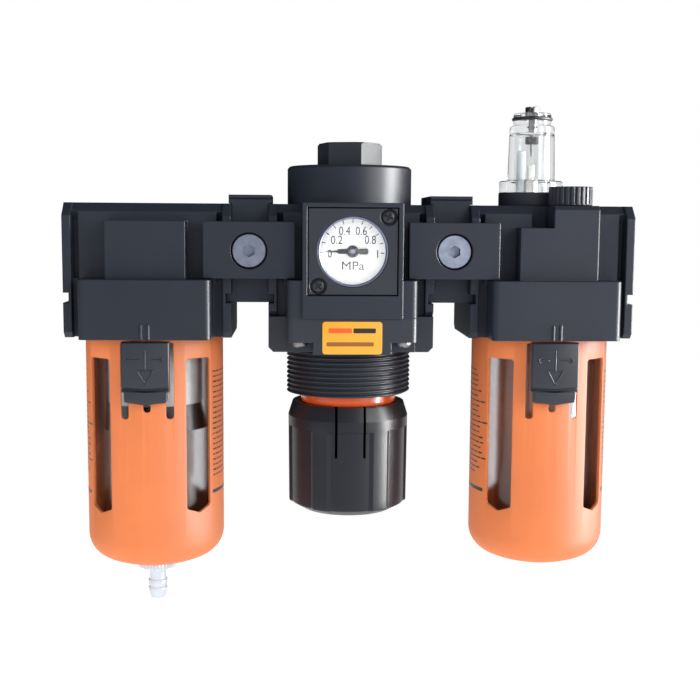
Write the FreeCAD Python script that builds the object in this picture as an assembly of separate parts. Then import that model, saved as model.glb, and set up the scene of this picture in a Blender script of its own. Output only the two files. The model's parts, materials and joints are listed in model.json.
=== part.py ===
import FreeCAD
import Part
import math
import os

# Air-line filter, regulator and lubricator joined in one row by two spacers.
# Millimetres.  X runs from the inlet to the outlet, +Y to the back, +Z up.
# The origin is the centre of the inlet port's mouth.

# the three units and the gaps between them
unit_width = 69.0
spacer_gap = 15.5
half_width = unit_width / 2
pitch = unit_width + spacer_gap
filter_x = half_width
regulator_x = filter_x + pitch
lubricator_x = regulator_x + pitch

# cast bodies
flange_thick = 3.5
flange_half_depth = 24.0
flange_chamfer = 5.3
flange_foot_chamfer = 2.5
flange_bottom = -36.5
groove_width = 2.5
groove_floor = 17.0
groove_top = 12.0
body_top = 19.3
panel_top = 15.8
panel_depth = 20.8
wing_depth = 20.0
panel_half = half_width - flange_thick - groove_width
key_bottom = -21.9
key_top = -17.8
key_depth = 2.3
pad_half = 16.3
pad_depth = 30.0
pad_top = 12.0
block_half = 26.8
block_depth = 35.0
block_top = -11.8
block_bottom = -36.3
block_round = 2.5
port_r = 10.48
port_length = 15.0
passage_r = 8.0

# bowl sockets, bowls and their guards
socket_r = 26.6
socket_top = -20.0
undercut_r = 28.3
undercut_bottom = -33.6
undercut_top = -30.0
lug_half_angle = 9.0
guard_r = 29.5
guard_wall = 1.5
guard_top = -36.45
guard_neck_r = 26.2
guard_neck_top = -26.4
guard_corner = 11.0
guard_corner_z = -123.5
guard_corner_turn = 70.0
guard_flat_r = 9.0
guard_bottom = -136.85
window_width = 12.8
window_top = -45.2
window_side = -109.0
window_bottom = -111.4
latch_gap_half = 10.9
latch_gap_top = -38.0
latch_gap_bottom = -63.2
slit_width = 3.0
slit_x = 9.2
slit_bottom = -70.0
middle_slit_bottom = -67.0
bowl_r = 24.8
bowl_wall = 2.2
bowl_corner = 15.0
bowl_corner_z = -119.0
bowl_floor = bowl_corner_z - bowl_corner
bowl_neck_r = 24.0
bowl_top = -20.5
bowl_shoulder = -24.4
bowl_ring_section = 1.25

# lock buttons
button_half = 9.75
button_tab_half = 8.75
button_top = -37.2
button_groove = -56.7
button_bottom = -63.3
button_front = 34.0
button_back = 29.9
button_core_back = 25.6
button_core_half = 7.0
button_core_bottom = -59.0
button_travel = 4.0
lock_spring_top = -50.0

# filter insides and drain
element_r = 20.4
element_bore = 9.0
element_top = -35.8
element_bottom = -66.0
baffle_r = 22.0
baffle_top_r = 19.8
baffle_height = 11.0
riser_r = 11.0
riser_bore = 7.0
riser_bottom = -35.8
tie_r = 2.5
drain_bore = 5.0
drain_stem_r = 3.45
drain_knob_r = 8.5
drain_boss_r = 8.0
drain_boss_end = -137.6
drain_stem_top = -128.3
drain_seal_z = -134.8
drain_cross_z = -133.5
drain_knob_top = -138.2
drain_knob_bottom = -140.9
barb_neck_r = 3.6
barb_r = 4.2
barb_tip = -155.0
drain_hole_r = 1.5

# regulator
regulator_bottom = -27.3
crown_r = 26.75
crown_top = 35.5
cap_r = 13.2
cap_bottom = 10.0
hex_flats = 24.4
hex_top = 45.5
hex_turn = 18.0
valve_seat_z = -2.0
valve_seat_r = 6.0
valve_disc_r = 8.5
valve_stem_r = 3.0
diaphragm_r = 26.0
diaphragm_thick = 1.2
plate_r = 13.4
bonnet_bottom = -42.2
thread_r = 27.0
thread_end = -61.5
bonnet_bore = 21.0
bonnet_floor = -58.0
screw_hole_r = 6.2
screw_x = 21.5
screw_y = 28.0
seat_r = 19.0
seat_top = -51.0
seat_bottom = -54.5
spindle_r = 5.0
shank_r = 6.14
lock_ring_r = 20.8
lock_ring_end = -66.2
knob_top = -66.0
knob_rim_r = 24.4
knob_r = 26.3
knob_shoulder = -72.0
knob_collar_end = -76.4
knob_side_end = -110.5
knob_bottom = -113.4
knob_foot_r = 20.0
knob_waist_r = 25.3
knob_lands = 6
knob_land_angle = 17.0
knob_slit_x = 6.0
knob_slit_width = 1.1
knob_slit_bottom = -87.6

# pressure gauge
gauge_half_width = 20.5
gauge_half_height = 19.7
gauge_front = 36.3
gauge_wall = 2.0
gauge_floor = 31.8
cover_front = 35.9
dial_r = 13.8
window_r = 14.4
case_r = 15.0
case_back = 17.5
gauge_screws = ((-14.0, -14.0), (14.5, 14.0))

# lubricator
dome_x = -4.6
dome_y = 3.0
collar_r = 14.0
collar_top = 25.2
dome_flange_r = 13.8
dome_flange_top = 30.3
dome_foot_r = 10.25
dome_head_r = 9.7
dome_shoulder = 53.9
dome_neck_r = 8.15
dome_top = 59.5
dome_bore = 7.4
dome_seat_r = 10.4
dome_seat_z = 13.0
needle_r = 1.5
needle_head_r = 3.15
needle_top = 62.3
siphon_y = 11.5
siphon_r = 1.8
siphon_end = -125.0
nozzle_r = 1.6
plug_x = 8.1
plug_y = -18.0
plug_r = 9.2
plug_top = 27.3
plug_bottom = 19.5
plug_flutes = 24
plug_neck_r = 6.4
plug_hole_r = 6.5

# spacers, clamp plates and clamp screws
spacer_depth = 18.0
ledge_top = -18.0
tee_half = 8.9
tee_bottom = 19.5
tee_top = 23.0
plate_half = 18.75
plate_top = 11.9
plate_bottom = -11.3
plate_back = 24.2
hook_gap = 0.2
hook_tip = 17.4
head_r = 7.1
head_recess_r = 7.5
head_back = 26.0
head_front = 29.6
hex_key = 4.6
bolt_r = 4.0
seal_r = 12.5
seal_section = 0.9


def vec(x, y, z):
    return FreeCAD.Vector(x, y, z)


def box(x0, x1, y0, y1, z0, z1):
    return Part.makeBox(x1 - x0, y1 - y0, z1 - z0, vec(x0, y0, z0))


def rod(r, z0, z1, x=0.0, y=0.0):
    return Part.makeCylinder(r, z1 - z0, vec(x, y, z0), vec(0, 0, 1))


def rod_x(r, x0, x1, y=0.0, z=0.0):
    return Part.makeCylinder(r, x1 - x0, vec(x0, y, z), vec(1, 0, 0))


def rod_y(r, y0, y1, x=0.0, z=0.0):
    return Part.makeCylinder(r, y1 - y0, vec(x, y0, z), vec(0, 1, 0))


def tube(outer, inner, z0, z1, x=0.0, y=0.0):
    return rod(outer, z0, z1, x, y).cut(rod(inner, z0, z1, x, y))


def ring(major, minor, z, x=0.0, y=0.0):
    return Part.makeTorus(major, minor, vec(x, y, z), vec(0, 0, 1))


def join(shapes):
    whole = shapes[0].multiFuse(shapes[1:])
    return whole.removeSplitter()


def prism(points, direction):
    """The first point repeated closes the outline before it is pushed along direction."""
    wire = Part.makePolygon(points + [points[0]])
    return Part.Face(wire).extrude(direction)


def prism_y(points, y0, y1):
    return prism([vec(x, y0, z) for x, z in points], vec(0, y1 - y0, 0))


def prism_x(points, x0, x1):
    return prism([vec(x0, y, z) for y, z in points], vec(x1 - x0, 0, 0))


def turned(steps, x=0.0, y=0.0):
    """steps: a start (r, z), then (r, z) for a line or (mid r, mid z, r, z) for an arc."""
    edges = []
    last = steps[0]
    for step in steps[1:] + [steps[0]]:
        end = step[-2:]
        start_point = vec(last[0], 0, last[1])
        end_point = vec(end[0], 0, end[1])
        if len(step) == 4:
            edges.append(Part.Arc(start_point, vec(step[0], 0, step[1]), end_point).toShape())
        else:
            edges.append(Part.LineSegment(start_point, end_point).toShape())
        last = end
    solid = Part.Face(Part.Wire(edges)).revolve(vec(0, 0, 0), vec(0, 0, 1), 360)
    return solid.translate(vec(x, y, 0))


def spun(shape, angle, x=0.0, y=0.0):
    copy = shape.copy()
    copy.rotate(vec(x, y, 0), vec(0, 0, 1), angle)
    return copy


def around(shape, count, first=0.0, x=0.0, y=0.0):
    return [spun(shape, first + 360.0 * i / count, x, y) for i in range(count)]


def both_sides(shape, axis):
    return [shape, shape.mirror(vec(0, 0, 0), axis)]


def hexagon(flats, z0, z1, turn=0.0, x=0.0, y=0.0):
    corner = flats / math.sqrt(3)
    angles = [math.radians(turn + 60 * i) for i in range(6)]
    points = [vec(x + corner * math.cos(a), y + corner * math.sin(a), z0) for a in angles]
    return prism(points, vec(0, 0, z1 - z0))


def round_upright(shape, radius, x, y):
    """Rounds the upright edges that stand at (+-x, +-y)."""
    edges = []
    for edge in shape.Edges:
        ends = [v.Point for v in edge.Vertexes]
        upright = len(ends) == 2 and abs(ends[0].x - ends[1].x) + abs(ends[0].y - ends[1].y) < 0.01
        if upright and abs(abs(ends[0].x) - x) < 0.01 and abs(abs(ends[0].y) - y) < 0.01:
            edges.append(edge)
    return shape.makeFillet(radius, edges)


def spring(radius, wire, z0, z1, turns, x=0.0, y=0.0):
    height = z1 - z0 - wire
    path = Part.makeHelix(height / turns, height, radius)
    profile = Part.Wire(Part.makeCircle(wire / 2, vec(radius, 0, 0), vec(0, 1, 0)))
    solid = Part.Wire(path.Edges).makePipeShell([profile], True, True)
    return solid.translate(vec(x, y, z0 + wire / 2))


def save(name, shape, x=0.0):
    """Each sub-part is modelled about its own unit's axis and moved to its place here."""
    placed = shape.copy()
    placed.translate(vec(x, 0, 0))
    if not placed.isValid() or placed.Volume <= 0:
        print("check", name, placed.isValid(), placed.Volume)
    placed.exportStep("parts/" + name + ".step")


# ---- cast bodies -------------------------------------------------------------

def flange(bottom):
    top = body_top
    depth = flange_half_depth
    cut = flange_chamfer
    foot = flange_foot_chamfer
    points = [(-depth, bottom + foot), (-depth + foot, bottom), (depth - foot, bottom)]
    points += [(depth, bottom + foot), (depth, top - cut), (depth - cut, top)]
    points += [(-depth + cut, top), (-depth, top - cut)]
    plate = prism_x(points, half_width - flange_thick, half_width)
    return both_sides(plate, vec(1, 0, 0))


def upper_core():
    """The upper half between the flanges, with sloped top edges and grooves for the clamps."""
    slope = body_top - panel_top
    points = [(-panel_depth, block_top - 2), (panel_depth, block_top - 2), (panel_depth, panel_top)]
    points += [(panel_depth - slope, body_top), (-panel_depth + slope, body_top), (-panel_depth, panel_top)]
    middle = prism_x(points, -panel_half, panel_half)
    inner = half_width - flange_thick
    spine = box(-inner, inner, -groove_floor, groove_floor, block_top - 2, body_top)
    reach = flange_half_depth - groove_floor
    rise = min(reach, body_top - groove_top)
    points = [(-groove_floor - rise, body_top), (-groove_floor, groove_top), (-groove_floor, body_top)]
    hood = prism_x(points, -inner, inner).common(box(-inner, inner, -panel_depth, 0, groove_top, body_top))
    slope_cut = prism_x([(-panel_depth, panel_top), (-panel_depth + slope, body_top),
                         (-panel_depth, body_top)], -inner, inner)
    hood = hood.cut(slope_cut)
    return [middle, spine] + both_sides(hood, vec(0, 1, 0))


def lower_block(bottom):
    block = box(-block_half, block_half, -block_depth, block_depth, bottom, block_top)
    block = round_upright(block, block_round, block_half, block_depth)
    inner = half_width - flange_thick
    return [block, box(-inner, inner, -wing_depth, wing_depth, bottom, block_top)]


def key_notches():
    notch = box(half_width - key_depth, half_width + 1, -40, 40, key_bottom, key_top)
    return both_sides(notch, vec(1, 0, 0))


def ports():
    ends = both_sides(rod_x(port_r, half_width - port_length, half_width + 1), vec(1, 0, 0))
    return ends


def pad(x0, x1, top):
    return box(x0, x1, -pad_depth, -panel_depth + 1, block_top - 0.5, top)


def align_ribs():
    rib = box(1.0, 2.0, -block_depth - 0.4, -block_depth + 1, block_bottom, block_bottom + 6.3)
    return both_sides(rib, vec(1, 0, 0))


def bowl_socket():
    """The bore that takes a bowl, with a bayonet undercut and its four ways in."""
    tools = [rod(socket_r, block_bottom - 1, socket_top), rod(undercut_r, undercut_bottom, undercut_top)]
    way_in = sector(undercut_r, block_bottom - 1, undercut_bottom + 0.1, lug_half_angle + 2)
    tools += around(way_in, 4, 45)
    tools.append(box(-4.5, 4.5, -33.4, -29.0, block_bottom - 1, block_bottom + 1.2))
    return tools


def sector(radius, z0, z1, half_angle):
    """A slice of a disc, centred on the +X direction."""
    reach = radius * 1.5
    spread = reach * math.tan(math.radians(half_angle))
    wedge = prism([vec(0, 0, z0), vec(reach, -spread, z0), vec(reach, spread, z0)], vec(0, 0, z1 - z0))
    return rod(radius, z0, z1).common(wedge)


def filter_body():
    solids = flange(flange_bottom) + upper_core() + lower_block(block_bottom) + align_ribs()
    solids += both_sides(pad(-pad_half, pad_half, pad_top), vec(0, 1, 0))
    body = join(solids)
    body = body.cut(Part.makeCompound(ports() + key_notches() + bowl_socket()))
    inward = rod_x(passage_r, -half_width + port_length - 1, -12)
    down = rod(5.5, socket_top - 1, 0, -15.5, 0)
    outward = rod_x(passage_r, 0, half_width - port_length + 1)
    body = body.cut(inward).cut(down).cut(outward)
    body = body.fuse(tube(riser_r, riser_bore, riser_bottom, socket_top + 0.5))
    body = body.cut(rod(riser_bore, riser_bottom - 1, 0))
    bridge = box(-riser_bore - 1, riser_bore + 1, -2.8, 2.8, -31.0, -26.0)
    bridge = bridge.common(rod(riser_bore + 0.5, -31.0, -26.0))
    body = body.fuse(bridge).cut(rod(tie_r, -32, -25))
    return body.removeSplitter()


def regulator_body():
    solids = flange(regulator_bottom) + upper_core() + lower_block(regulator_bottom)
    solids.append(pad(-pad_half, pad_half, pad_top).mirror(vec(0, 0, 0), vec(0, 1, 0)))
    solids.append(rod(crown_r, block_top, crown_top))
    frame = box(-gauge_half_width, gauge_half_width, -gauge_front, -15, regulator_bottom, gauge_half_height)
    body = join(solids + [frame])
    rim_cut = rod(crown_r + 2, crown_top - 1, crown_top + 1).cut(
        Part.makeCone(crown_r, crown_r - 1, 1, vec(0, 0, crown_top - 1), vec(0, 0, 1)))
    tools = ports() + key_notches() + [rim_cut]
    tools.append(rod_x(passage_r, -half_width + port_length - 1, -8))
    tools.append(rod_x(passage_r, 17, half_width - port_length + 1))
    tools.append(rod(5.0, -17, 0, 19.5, 0))
    tools.append(rod(cap_r, valve_seat_z, crown_top + 1))
    tools.append(rod(valve_seat_r, -7, valve_seat_z + 1))
    tools.append(rod(9.0, -17, -6))
    tools.append(rod(23.0, regulator_bottom - 1, -16))
    for tool in tools:
        body = body.cut(tool)
    inside = gauge_half_width - gauge_wall
    tall = gauge_half_height - 1.8
    body = body.cut(box(-inside, inside, -gauge_front - 1, -gauge_floor, -tall, tall))
    body = body.cut(rod_y(case_r + 0.3, -gauge_floor - 1, -case_back + 0.5))
    body = body.cut(rod(1.0, -17, -8, 6.0, -17.0))
    for x, z in gauge_screws:
        body = body.cut(rod_y(1.4, -gauge_floor - 1, -26, x, z))
    for x, y in corner_places():
        body = body.cut(rod(2.0, regulator_bottom - 1, regulator_bottom + 9, x, y))
    return body.removeSplitter()


def lubricator_body():
    solids = flange(flange_bottom) + upper_core() + lower_block(block_bottom) + align_ribs()
    solids.append(pad(-pad_half, pad_half, pad_top).mirror(vec(0, 0, 0), vec(0, 1, 0)))
    solids.append(pad(-15.0, 17.7, 10.0))
    chamfer = 1.8
    points = [(-pad_depth, block_top), (0, block_top), (0, body_top), (-pad_depth + chamfer, body_top)]
    points.append((-pad_depth, body_top - chamfer))
    solids.append(prism_x(points, -1.1, 17.7))
    body = join(solids)
    notch = box(-8.6, -1.1, -panel_depth - 1, -13.5, 10.4, body_top + 1)
    tools = ports() + key_notches() + bowl_socket() + [notch]
    tools.append(rod_x(passage_r, -half_width + 2, half_width - 2))
    tools.append(rod(dome_seat_r, dome_seat_z, body_top + 1, dome_x, dome_y))
    tools.append(rod(siphon_r, socket_top - 1, 0, dome_x, siphon_y))
    tools.append(rod(1.2, -1, dome_seat_z + 1, dome_x, siphon_y))
    tools.append(rod(nozzle_r, passage_r - 4, dome_seat_z + 1, dome_x, dome_y))
    tools.append(rod(plug_hole_r, socket_top - 1, body_top + 1, plug_x, plug_y))
    for tool in tools:
        body = body.cut(tool)
    return body.removeSplitter()


# ---- bowls, guards and lock buttons --------------------------------------------

def guard_profile(radius, corner, top, bottom_lift):
    """Half outline of the outside or inside of a guard, from the rim to the axis."""
    centre_r = radius - corner
    turn = math.radians(guard_corner_turn)
    half_turn = turn / 2
    corner_end = (centre_r + corner * math.cos(turn), guard_corner_z - corner * math.sin(turn))
    corner_mid = (centre_r + corner * math.cos(half_turn), guard_corner_z - corner * math.sin(half_turn))
    bottom = guard_bottom + bottom_lift
    mid_r = (corner_end[0] + guard_flat_r) / 2
    mid_z = bottom + (corner_end[1] - bottom) * 0.27
    return [(0, top), (radius, top), (radius, guard_corner_z),
            corner_mid + corner_end, (mid_r, mid_z, guard_flat_r, bottom), (0, bottom)]


def bowl_guard(drain_hole):
    inner_r = guard_r - guard_wall
    guard = turned(guard_profile(guard_r, guard_corner, guard_top, 0.0))
    hollow = turned(guard_profile(inner_r, guard_corner - guard_wall, guard_top - 1.55, guard_wall))
    guard = guard.cut(hollow)
    guard = guard.fuse(tube(guard_neck_r, bowl_r + 0.2, guard_top - 0.5, guard_neck_top))
    guard = guard.cut(rod(bowl_r + 0.2, guard_top - 3, guard_neck_top + 1))
    lug = sector(undercut_r - 0.4, undercut_bottom + 0.4, undercut_top - 0.4, lug_half_angle)
    guard = guard.fuse([piece.cut(rod(guard_neck_r - 0.5, -40, -20)) for piece in around(lug, 4)])
    half = window_width / 2
    points = [vec(20, -half, window_top), vec(20, half, window_top), vec(20, half, window_side)]
    points += [vec(20, 0, window_bottom), vec(20, -half, window_side)]
    window = prism(points, vec(14, 0, 0))
    sides = [e for e in window.Edges if abs(e.Vertexes[0].Z - e.Vertexes[-1].Z) < 0.01
             and abs(e.Vertexes[0].Y - e.Vertexes[-1].Y) < 0.01 and abs(e.Vertexes[0].Y) > 1]
    window = window.makeFillet(1.2, sides)
    tools = around(window, 4, 45)
    tools.append(box(-latch_gap_half, latch_gap_half, -32, -20, latch_gap_bottom, latch_gap_top))
    half = slit_width / 2
    for x, bottom in ((-slit_x, slit_bottom), (slit_x, slit_bottom), (0, middle_slit_bottom)):
        tools.append(box(x - half, x + half, -32, -20, bottom + half, latch_gap_bottom + 1))
        tools.append(rod_y(half, -32, -20, x, bottom + half))
    tools.append(rod(drain_hole, guard_bottom - 1, guard_bottom + 4))
    for tool in tools:
        guard = guard.cut(tool)
    return guard.removeSplitter()


def bowl(with_drain):
    def shell(radius, corner, floor):
        middle = corner * math.sqrt(0.5)
        centre_r = radius - corner
        return [(radius, bowl_corner_z),
                (centre_r + middle, bowl_corner_z - middle, centre_r, floor), (0, floor)]
    inner_r = bowl_r - bowl_wall
    outside = [(0, bowl_top), (bowl_neck_r, bowl_top), (bowl_neck_r, bowl_shoulder)]
    outside += [(guard_neck_r, bowl_shoulder), (guard_neck_r, guard_neck_top), (bowl_r, guard_neck_top)]
    solid = turned(outside + shell(bowl_r, bowl_corner, bowl_floor))
    if with_drain:
        solid = solid.fuse(rod(drain_boss_r, drain_boss_end, bowl_floor + 1))
    hollow = turned([(0, bowl_top + 1), (inner_r, bowl_top + 1)]
                    + shell(inner_r, bowl_corner - bowl_wall, bowl_floor + bowl_wall))
    solid = solid.cut(hollow)
    if with_drain:
        solid = solid.cut(rod(drain_bore, drain_boss_end - 1, bowl_floor + 4))
    return solid.removeSplitter()


def bowl_oring():
    return ring(bowl_neck_r + bowl_ring_section, bowl_ring_section, bowl_shoulder + 1.5)


def lock_button():
    tip = 1.3
    tab_top = button_groove - 1.0
    points = [(-button_half, button_top), (button_half, button_top), (button_half, tab_top)]
    points += [(button_tab_half, tab_top), (button_tab_half, button_bottom + tip), (0, button_bottom)]
    points += [(-button_tab_half, button_bottom + tip), (-button_tab_half, tab_top), (-button_half, tab_top)]
    button = prism_y(points, -button_front, -button_back)
    core = box(-button_core_half, button_core_half, -button_back, -button_core_back,
               button_core_bottom, button_top - 0.9)
    button = button.fuse(core)
    groove = [(-button_half - 1, button_groove + 0.8), (0, button_groove), (button_half + 1, button_groove + 0.8)]
    groove += [(button_half + 1, button_groove), (0, button_groove - 0.8), (-button_half - 1, button_groove)]
    button = button.cut(prism_y(groove, -button_front - 1, -button_front + 0.8))
    button = button.cut(rod(2.0, button_bottom - 1, lock_spring_top, 0, -29.0))
    return button.removeSplitter()


def lock_spring():
    return spring(1.5, 0.5, latch_gap_bottom, lock_spring_top, 7, 0, -29.0)


# ---- filter insides and drain ----------------------------------------------------

def filter_deflector():
    disc = tube(21.5, riser_r, -33.5, -31.5).fuse(tube(21.5, 20.3, -35.0, -31.5))
    slot = box(13.5, 19.0, -0.9, 0.9, -34, -31)
    for tool in around(slot, 16):
        disc = disc.cut(tool)
    return disc


def filter_element():
    return tube(element_r, element_bore, element_bottom, element_top)


def filter_baffle():
    bottom = element_bottom - baffle_height
    underside = element_bottom - 3.0
    steps = [(tie_r, underside), (baffle_top_r - 1.6, underside), (baffle_r - 1.2, bottom), (baffle_r, bottom)]
    steps += [(baffle_top_r, element_bottom), (tie_r, element_bottom)]
    dish = turned(steps)
    vane = box(8.0, 15.5, -0.6, 0.6, bottom + 1.0, underside + 0.5)
    return dish.fuse(around(vane, 8)).removeSplitter()


def filter_element_bolt():
    head = hexagon(10.0, element_bottom - 7.5, element_bottom - 3.0)
    return rod(tie_r, element_bottom - 3.0, -26.0).fuse(head).removeSplitter()


def drain_guide():
    floor = bowl_floor + bowl_wall
    return tube(drain_bore, drain_stem_r + 0.05, drain_boss_end, floor).fuse(
        tube(7.0, drain_stem_r + 0.05, floor, floor + 1.6)).removeSplitter()


def drain_cock():
    half = drain_knob_r - 0.6
    top = drain_cross_z + 0.7
    steps = [(0, drain_stem_top), (drain_stem_r, drain_stem_top), (drain_stem_r, drain_knob_top)]
    steps += [(half, drain_knob_top), (drain_knob_r, drain_knob_top - 0.6), (drain_knob_r, drain_knob_bottom)]
    steps += [(4.6, drain_knob_bottom), (4.6, -142.4), (barb_neck_r, -142.4), (barb_neck_r, -146.6)]
    steps += [(barb_r, -146.9), (barb_r, -148.5), (barb_neck_r, -150.0)]
    steps += [(barb_r - 0.1, -150.4), (barb_r - 0.1, -151.4), (barb_neck_r - 0.4, barb_tip)]
    steps += [(drain_hole_r, barb_tip), (drain_hole_r, top), (0, top)]
    cock = turned(steps)
    cock = cock.cut(ring(2.85, 0.62, drain_seal_z))
    return cock.cut(rod_x(1.0, -4, 4, 0, drain_cross_z).cut(rod(0.1, drain_knob_top, drain_stem_top)))


def drain_oring():
    return ring(2.85, 0.55, drain_seal_z)


# ---- regulator insides -------------------------------------------------------------

def corner_places():
    return [(sx * screw_x, sy * screw_y) for sx in (-1, 1) for sy in (-1, 1)]


def valve_cap():
    plug = rod(cap_r, cap_bottom, crown_top)
    head = hexagon(hex_flats, crown_top, hex_top, hex_turn - 90)
    crown = Part.makeCone(hex_flats / math.sqrt(3) + 9.0, hex_flats / math.sqrt(3) - 1.0, 10.0,
                          vec(0, 0, hex_top - 10.0), vec(0, 0, 1))
    head = head.common(crown)
    cap = plug.fuse(head)
    cap = cap.cut(rod(valve_stem_r + 0.06, cap_bottom - 1, 20))
    groove = tube(cap_r + 1, cap_r - 2.05, 28.0, 30.4)
    return cap.cut(groove).removeSplitter()


def valve_cap_oring():
    return ring(cap_r - 1.05, 1.0, 29.2)


def valve_stem():
    steps = [(0, 17.0), (valve_stem_r, 17.0), (valve_stem_r, 2.0), (valve_disc_r, 2.0)]
    steps += [(valve_disc_r, valve_seat_z), (2.0, valve_seat_z), (2.0, -26.2), (0, -26.2)]
    return turned(steps)


def valve_spring():
    return spring(5.2, 1.2, 2.0, cap_bottom, 4)


def diaphragm():
    top = regulator_bottom
    low = top - diaphragm_thick
    return tube(diaphragm_r, plate_r + 0.5, low, top).fuse(ring(19.0, 0.9, low + 0.3)).removeSplitter()


def diaphragm_plate():
    steps = [(0, -26.2), (plate_r, -26.2), (plate_r, -30.0), (9.0, -30.0), (9.0, -31.0), (6.5, -31.0)]
    steps += [(6.0, -34.0), (0, -34.0)]
    return turned(steps)


def adjusting_spring():
    return spring(11.0, 2.6, seat_top, -31.0, 5)


def spring_seat():
    seat = tube(seat_r, spindle_r + 0.05, seat_bottom, seat_top)
    for notch in around(box(17.1, 21, -2.0, 2.0, seat_bottom - 1, seat_top + 1), 3):
        seat = seat.cut(notch)
    return seat


def adjusting_screw():
    steps = [(0, -38.0), (spindle_r - 0.8, -38.0), (spindle_r, -39.0), (spindle_r, -55.6)]
    steps += [(9.0, -55.6), (9.0, -57.9), (shank_r, -57.9), (shank_r, -84.0), (0, -84.0)]
    screw = turned(steps)
    return screw.fuse(box(-1.0, 1.0, 5.0, 7.4, -84.0, -69.5)).removeSplitter()


def regulator_bonnet():
    block = box(-block_half, block_half, -block_depth, block_depth, bonnet_bottom, regulator_bottom)
    block = round_upright(block, block_round, block_half, block_depth)
    wings = box(-half_width, half_width, -flange_half_depth, flange_half_depth,
                bonnet_bottom, regulator_bottom)
    foot = 2.0
    for sx in (-1, 1):
        points = [(sx * half_width, bonnet_bottom), (sx * (half_width - foot), bonnet_bottom),
                  (sx * half_width, bonnet_bottom + foot)]
        wings = wings.cut(prism_y(points, -flange_half_depth, flange_half_depth))
    bonnet = join([block, wings, rod(thread_r, thread_end, bonnet_bottom + 1)])
    for x, y in corner_places():
        x0, x1 = sorted((math.copysign(16.0, x), math.copysign(block_half + 0.5, x)))
        y0, y1 = sorted((math.copysign(24.5, y), math.copysign(block_depth + 1, y)))
        bonnet = bonnet.cut(box(x0, x1, y0, y1, bonnet_bottom - 1, -37.2))
        bonnet = bonnet.cut(rod(2.0, -38, regulator_bottom + 1, x, y))
    bonnet = bonnet.cut(rod(diaphragm_r, regulator_bottom - diaphragm_thick, regulator_bottom + 1))
    bonnet = bonnet.cut(rod(23.0, -37.0, regulator_bottom))
    bonnet = bonnet.cut(rod(bonnet_bore, bonnet_floor, -36.0))
    bonnet = bonnet.cut(rod(screw_hole_r, thread_end - 1, bonnet_floor + 1))
    rib = box(17.6, bonnet_bore + 0.3, -1.5, 1.5, bonnet_floor, -40.0)
    return bonnet.fuse(around(rib, 3)).removeSplitter()


def bonnet_screws():
    screws = []
    for x, y in corner_places():
        head = Part.makeCone(2.6, 3.5, 2.6, vec(x, y, -39.8), vec(0, 0, 1))
        slot = box(x - 4, x + 4, y - 0.4, y + 0.4, -40, -38.9)
        screws.append(head.cut(slot).fuse(rod(2.0, -37.2, regulator_bottom + 9, x, y)))
    return Part.makeCompound(screws)


def knob_lock_ring():
    return tube(lock_ring_r, 17.5, lock_ring_end, thread_end)


def pressure_knob():
    steps = [(0, knob_top), (knob_rim_r, knob_top), (knob_r, knob_shoulder), (knob_r, knob_collar_end)]
    steps += [(knob_waist_r, knob_collar_end - 0.5), (knob_waist_r - 0.3, knob_side_end)]
    steps += [(knob_foot_r, knob_bottom), (0, knob_bottom)]
    knob = turned(steps)
    steps = [(0, knob_collar_end), (knob_r - 0.2, knob_collar_end), (knob_r - 0.5, knob_side_end)]
    steps += [(knob_foot_r + 0.4, knob_bottom), (0, knob_bottom)]
    lands = turned(steps).cut(rod(18.0, knob_bottom - 1, knob_top))
    slice_ = sector(knob_r + 1, knob_bottom - 1, knob_top, knob_land_angle / 2)
    knob = knob.fuse([lands.common(piece) for piece in around(slice_, knob_lands, -60)])
    knob = knob.cut(rod(lock_ring_r + 0.35, knob_shoulder + 1, knob_top + 1))
    knob = knob.cut(tube(22.4, 10.0, knob_bottom + 5.4, knob_shoulder + 1.1))
    knob = knob.cut(tube(knob_rim_r + 5, 0.1, knob_top, knob_top + 1).fuse(
        rod(12.0, knob_shoulder + 2.5, knob_top + 1)))
    knob = knob.cut(rod(screw_hole_r, -87.0, knob_top + 1))
    knob = knob.cut(box(-1.15, 1.15, 4.0, 7.6, -87.0, knob_top))
    slit = knob_slit_width / 2
    for x in (-knob_slit_x, knob_slit_x):
        knob = knob.cut(box(x - slit, x + slit, -30, -17, knob_slit_bottom, knob_top + 1))
        knob = knob.cut(box(x - slit, x + slit, 17, 30, knob_slit_bottom, knob_top + 1))
    dish = Part.makeCone(14.0, 13.0, 1.2, vec(0, 0, knob_bottom - 0.2), vec(0, 0, 1))
    return knob.cut(dish).removeSplitter()


# ---- gauge -------------------------------------------------------------------------

def gauge_cover():
    half = gauge_half_width - gauge_wall - 0.5
    tall = gauge_half_height - 2.3
    cover = box(-half, half, -cover_front, -gauge_floor, -tall, tall)
    cover = cover.cut(rod_y(window_r, -cover_front - 1, -gauge_floor + 1))
    for x, z in gauge_screws:
        cover = cover.cut(rod_y(3.5, -cover_front - 1, -cover_front + 2.2, x, z))
        cover = cover.cut(rod_y(1.4, -cover_front, -gauge_floor + 1, x, z))
    return cover


def gauge_cover_screws():
    screws = []
    for x, z in gauge_screws:
        head = rod_y(2.7, -cover_front + 0.6, -cover_front + 2.2, x, z)
        for w, h in ((1.7, 0.3), (0.3, 1.7)):
            head = head.cut(box(x - w, x + w, -cover_front, -cover_front + 1.4, z - h, z + h))
        screws.append(head.fuse(rod_y(1.4, -cover_front + 2.2, -26, x, z)))
    return Part.makeCompound(screws)


def gauge_case():
    can = rod_y(case_r, -gauge_floor, -case_back).cut(rod_y(case_r - 1.0, -gauge_floor - 1, -case_back - 1.5))
    return can


def gauge_dial():
    return rod_y(dial_r, -30.4, -29.8).cut(rod_y(0.62, -31, -29))


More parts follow.
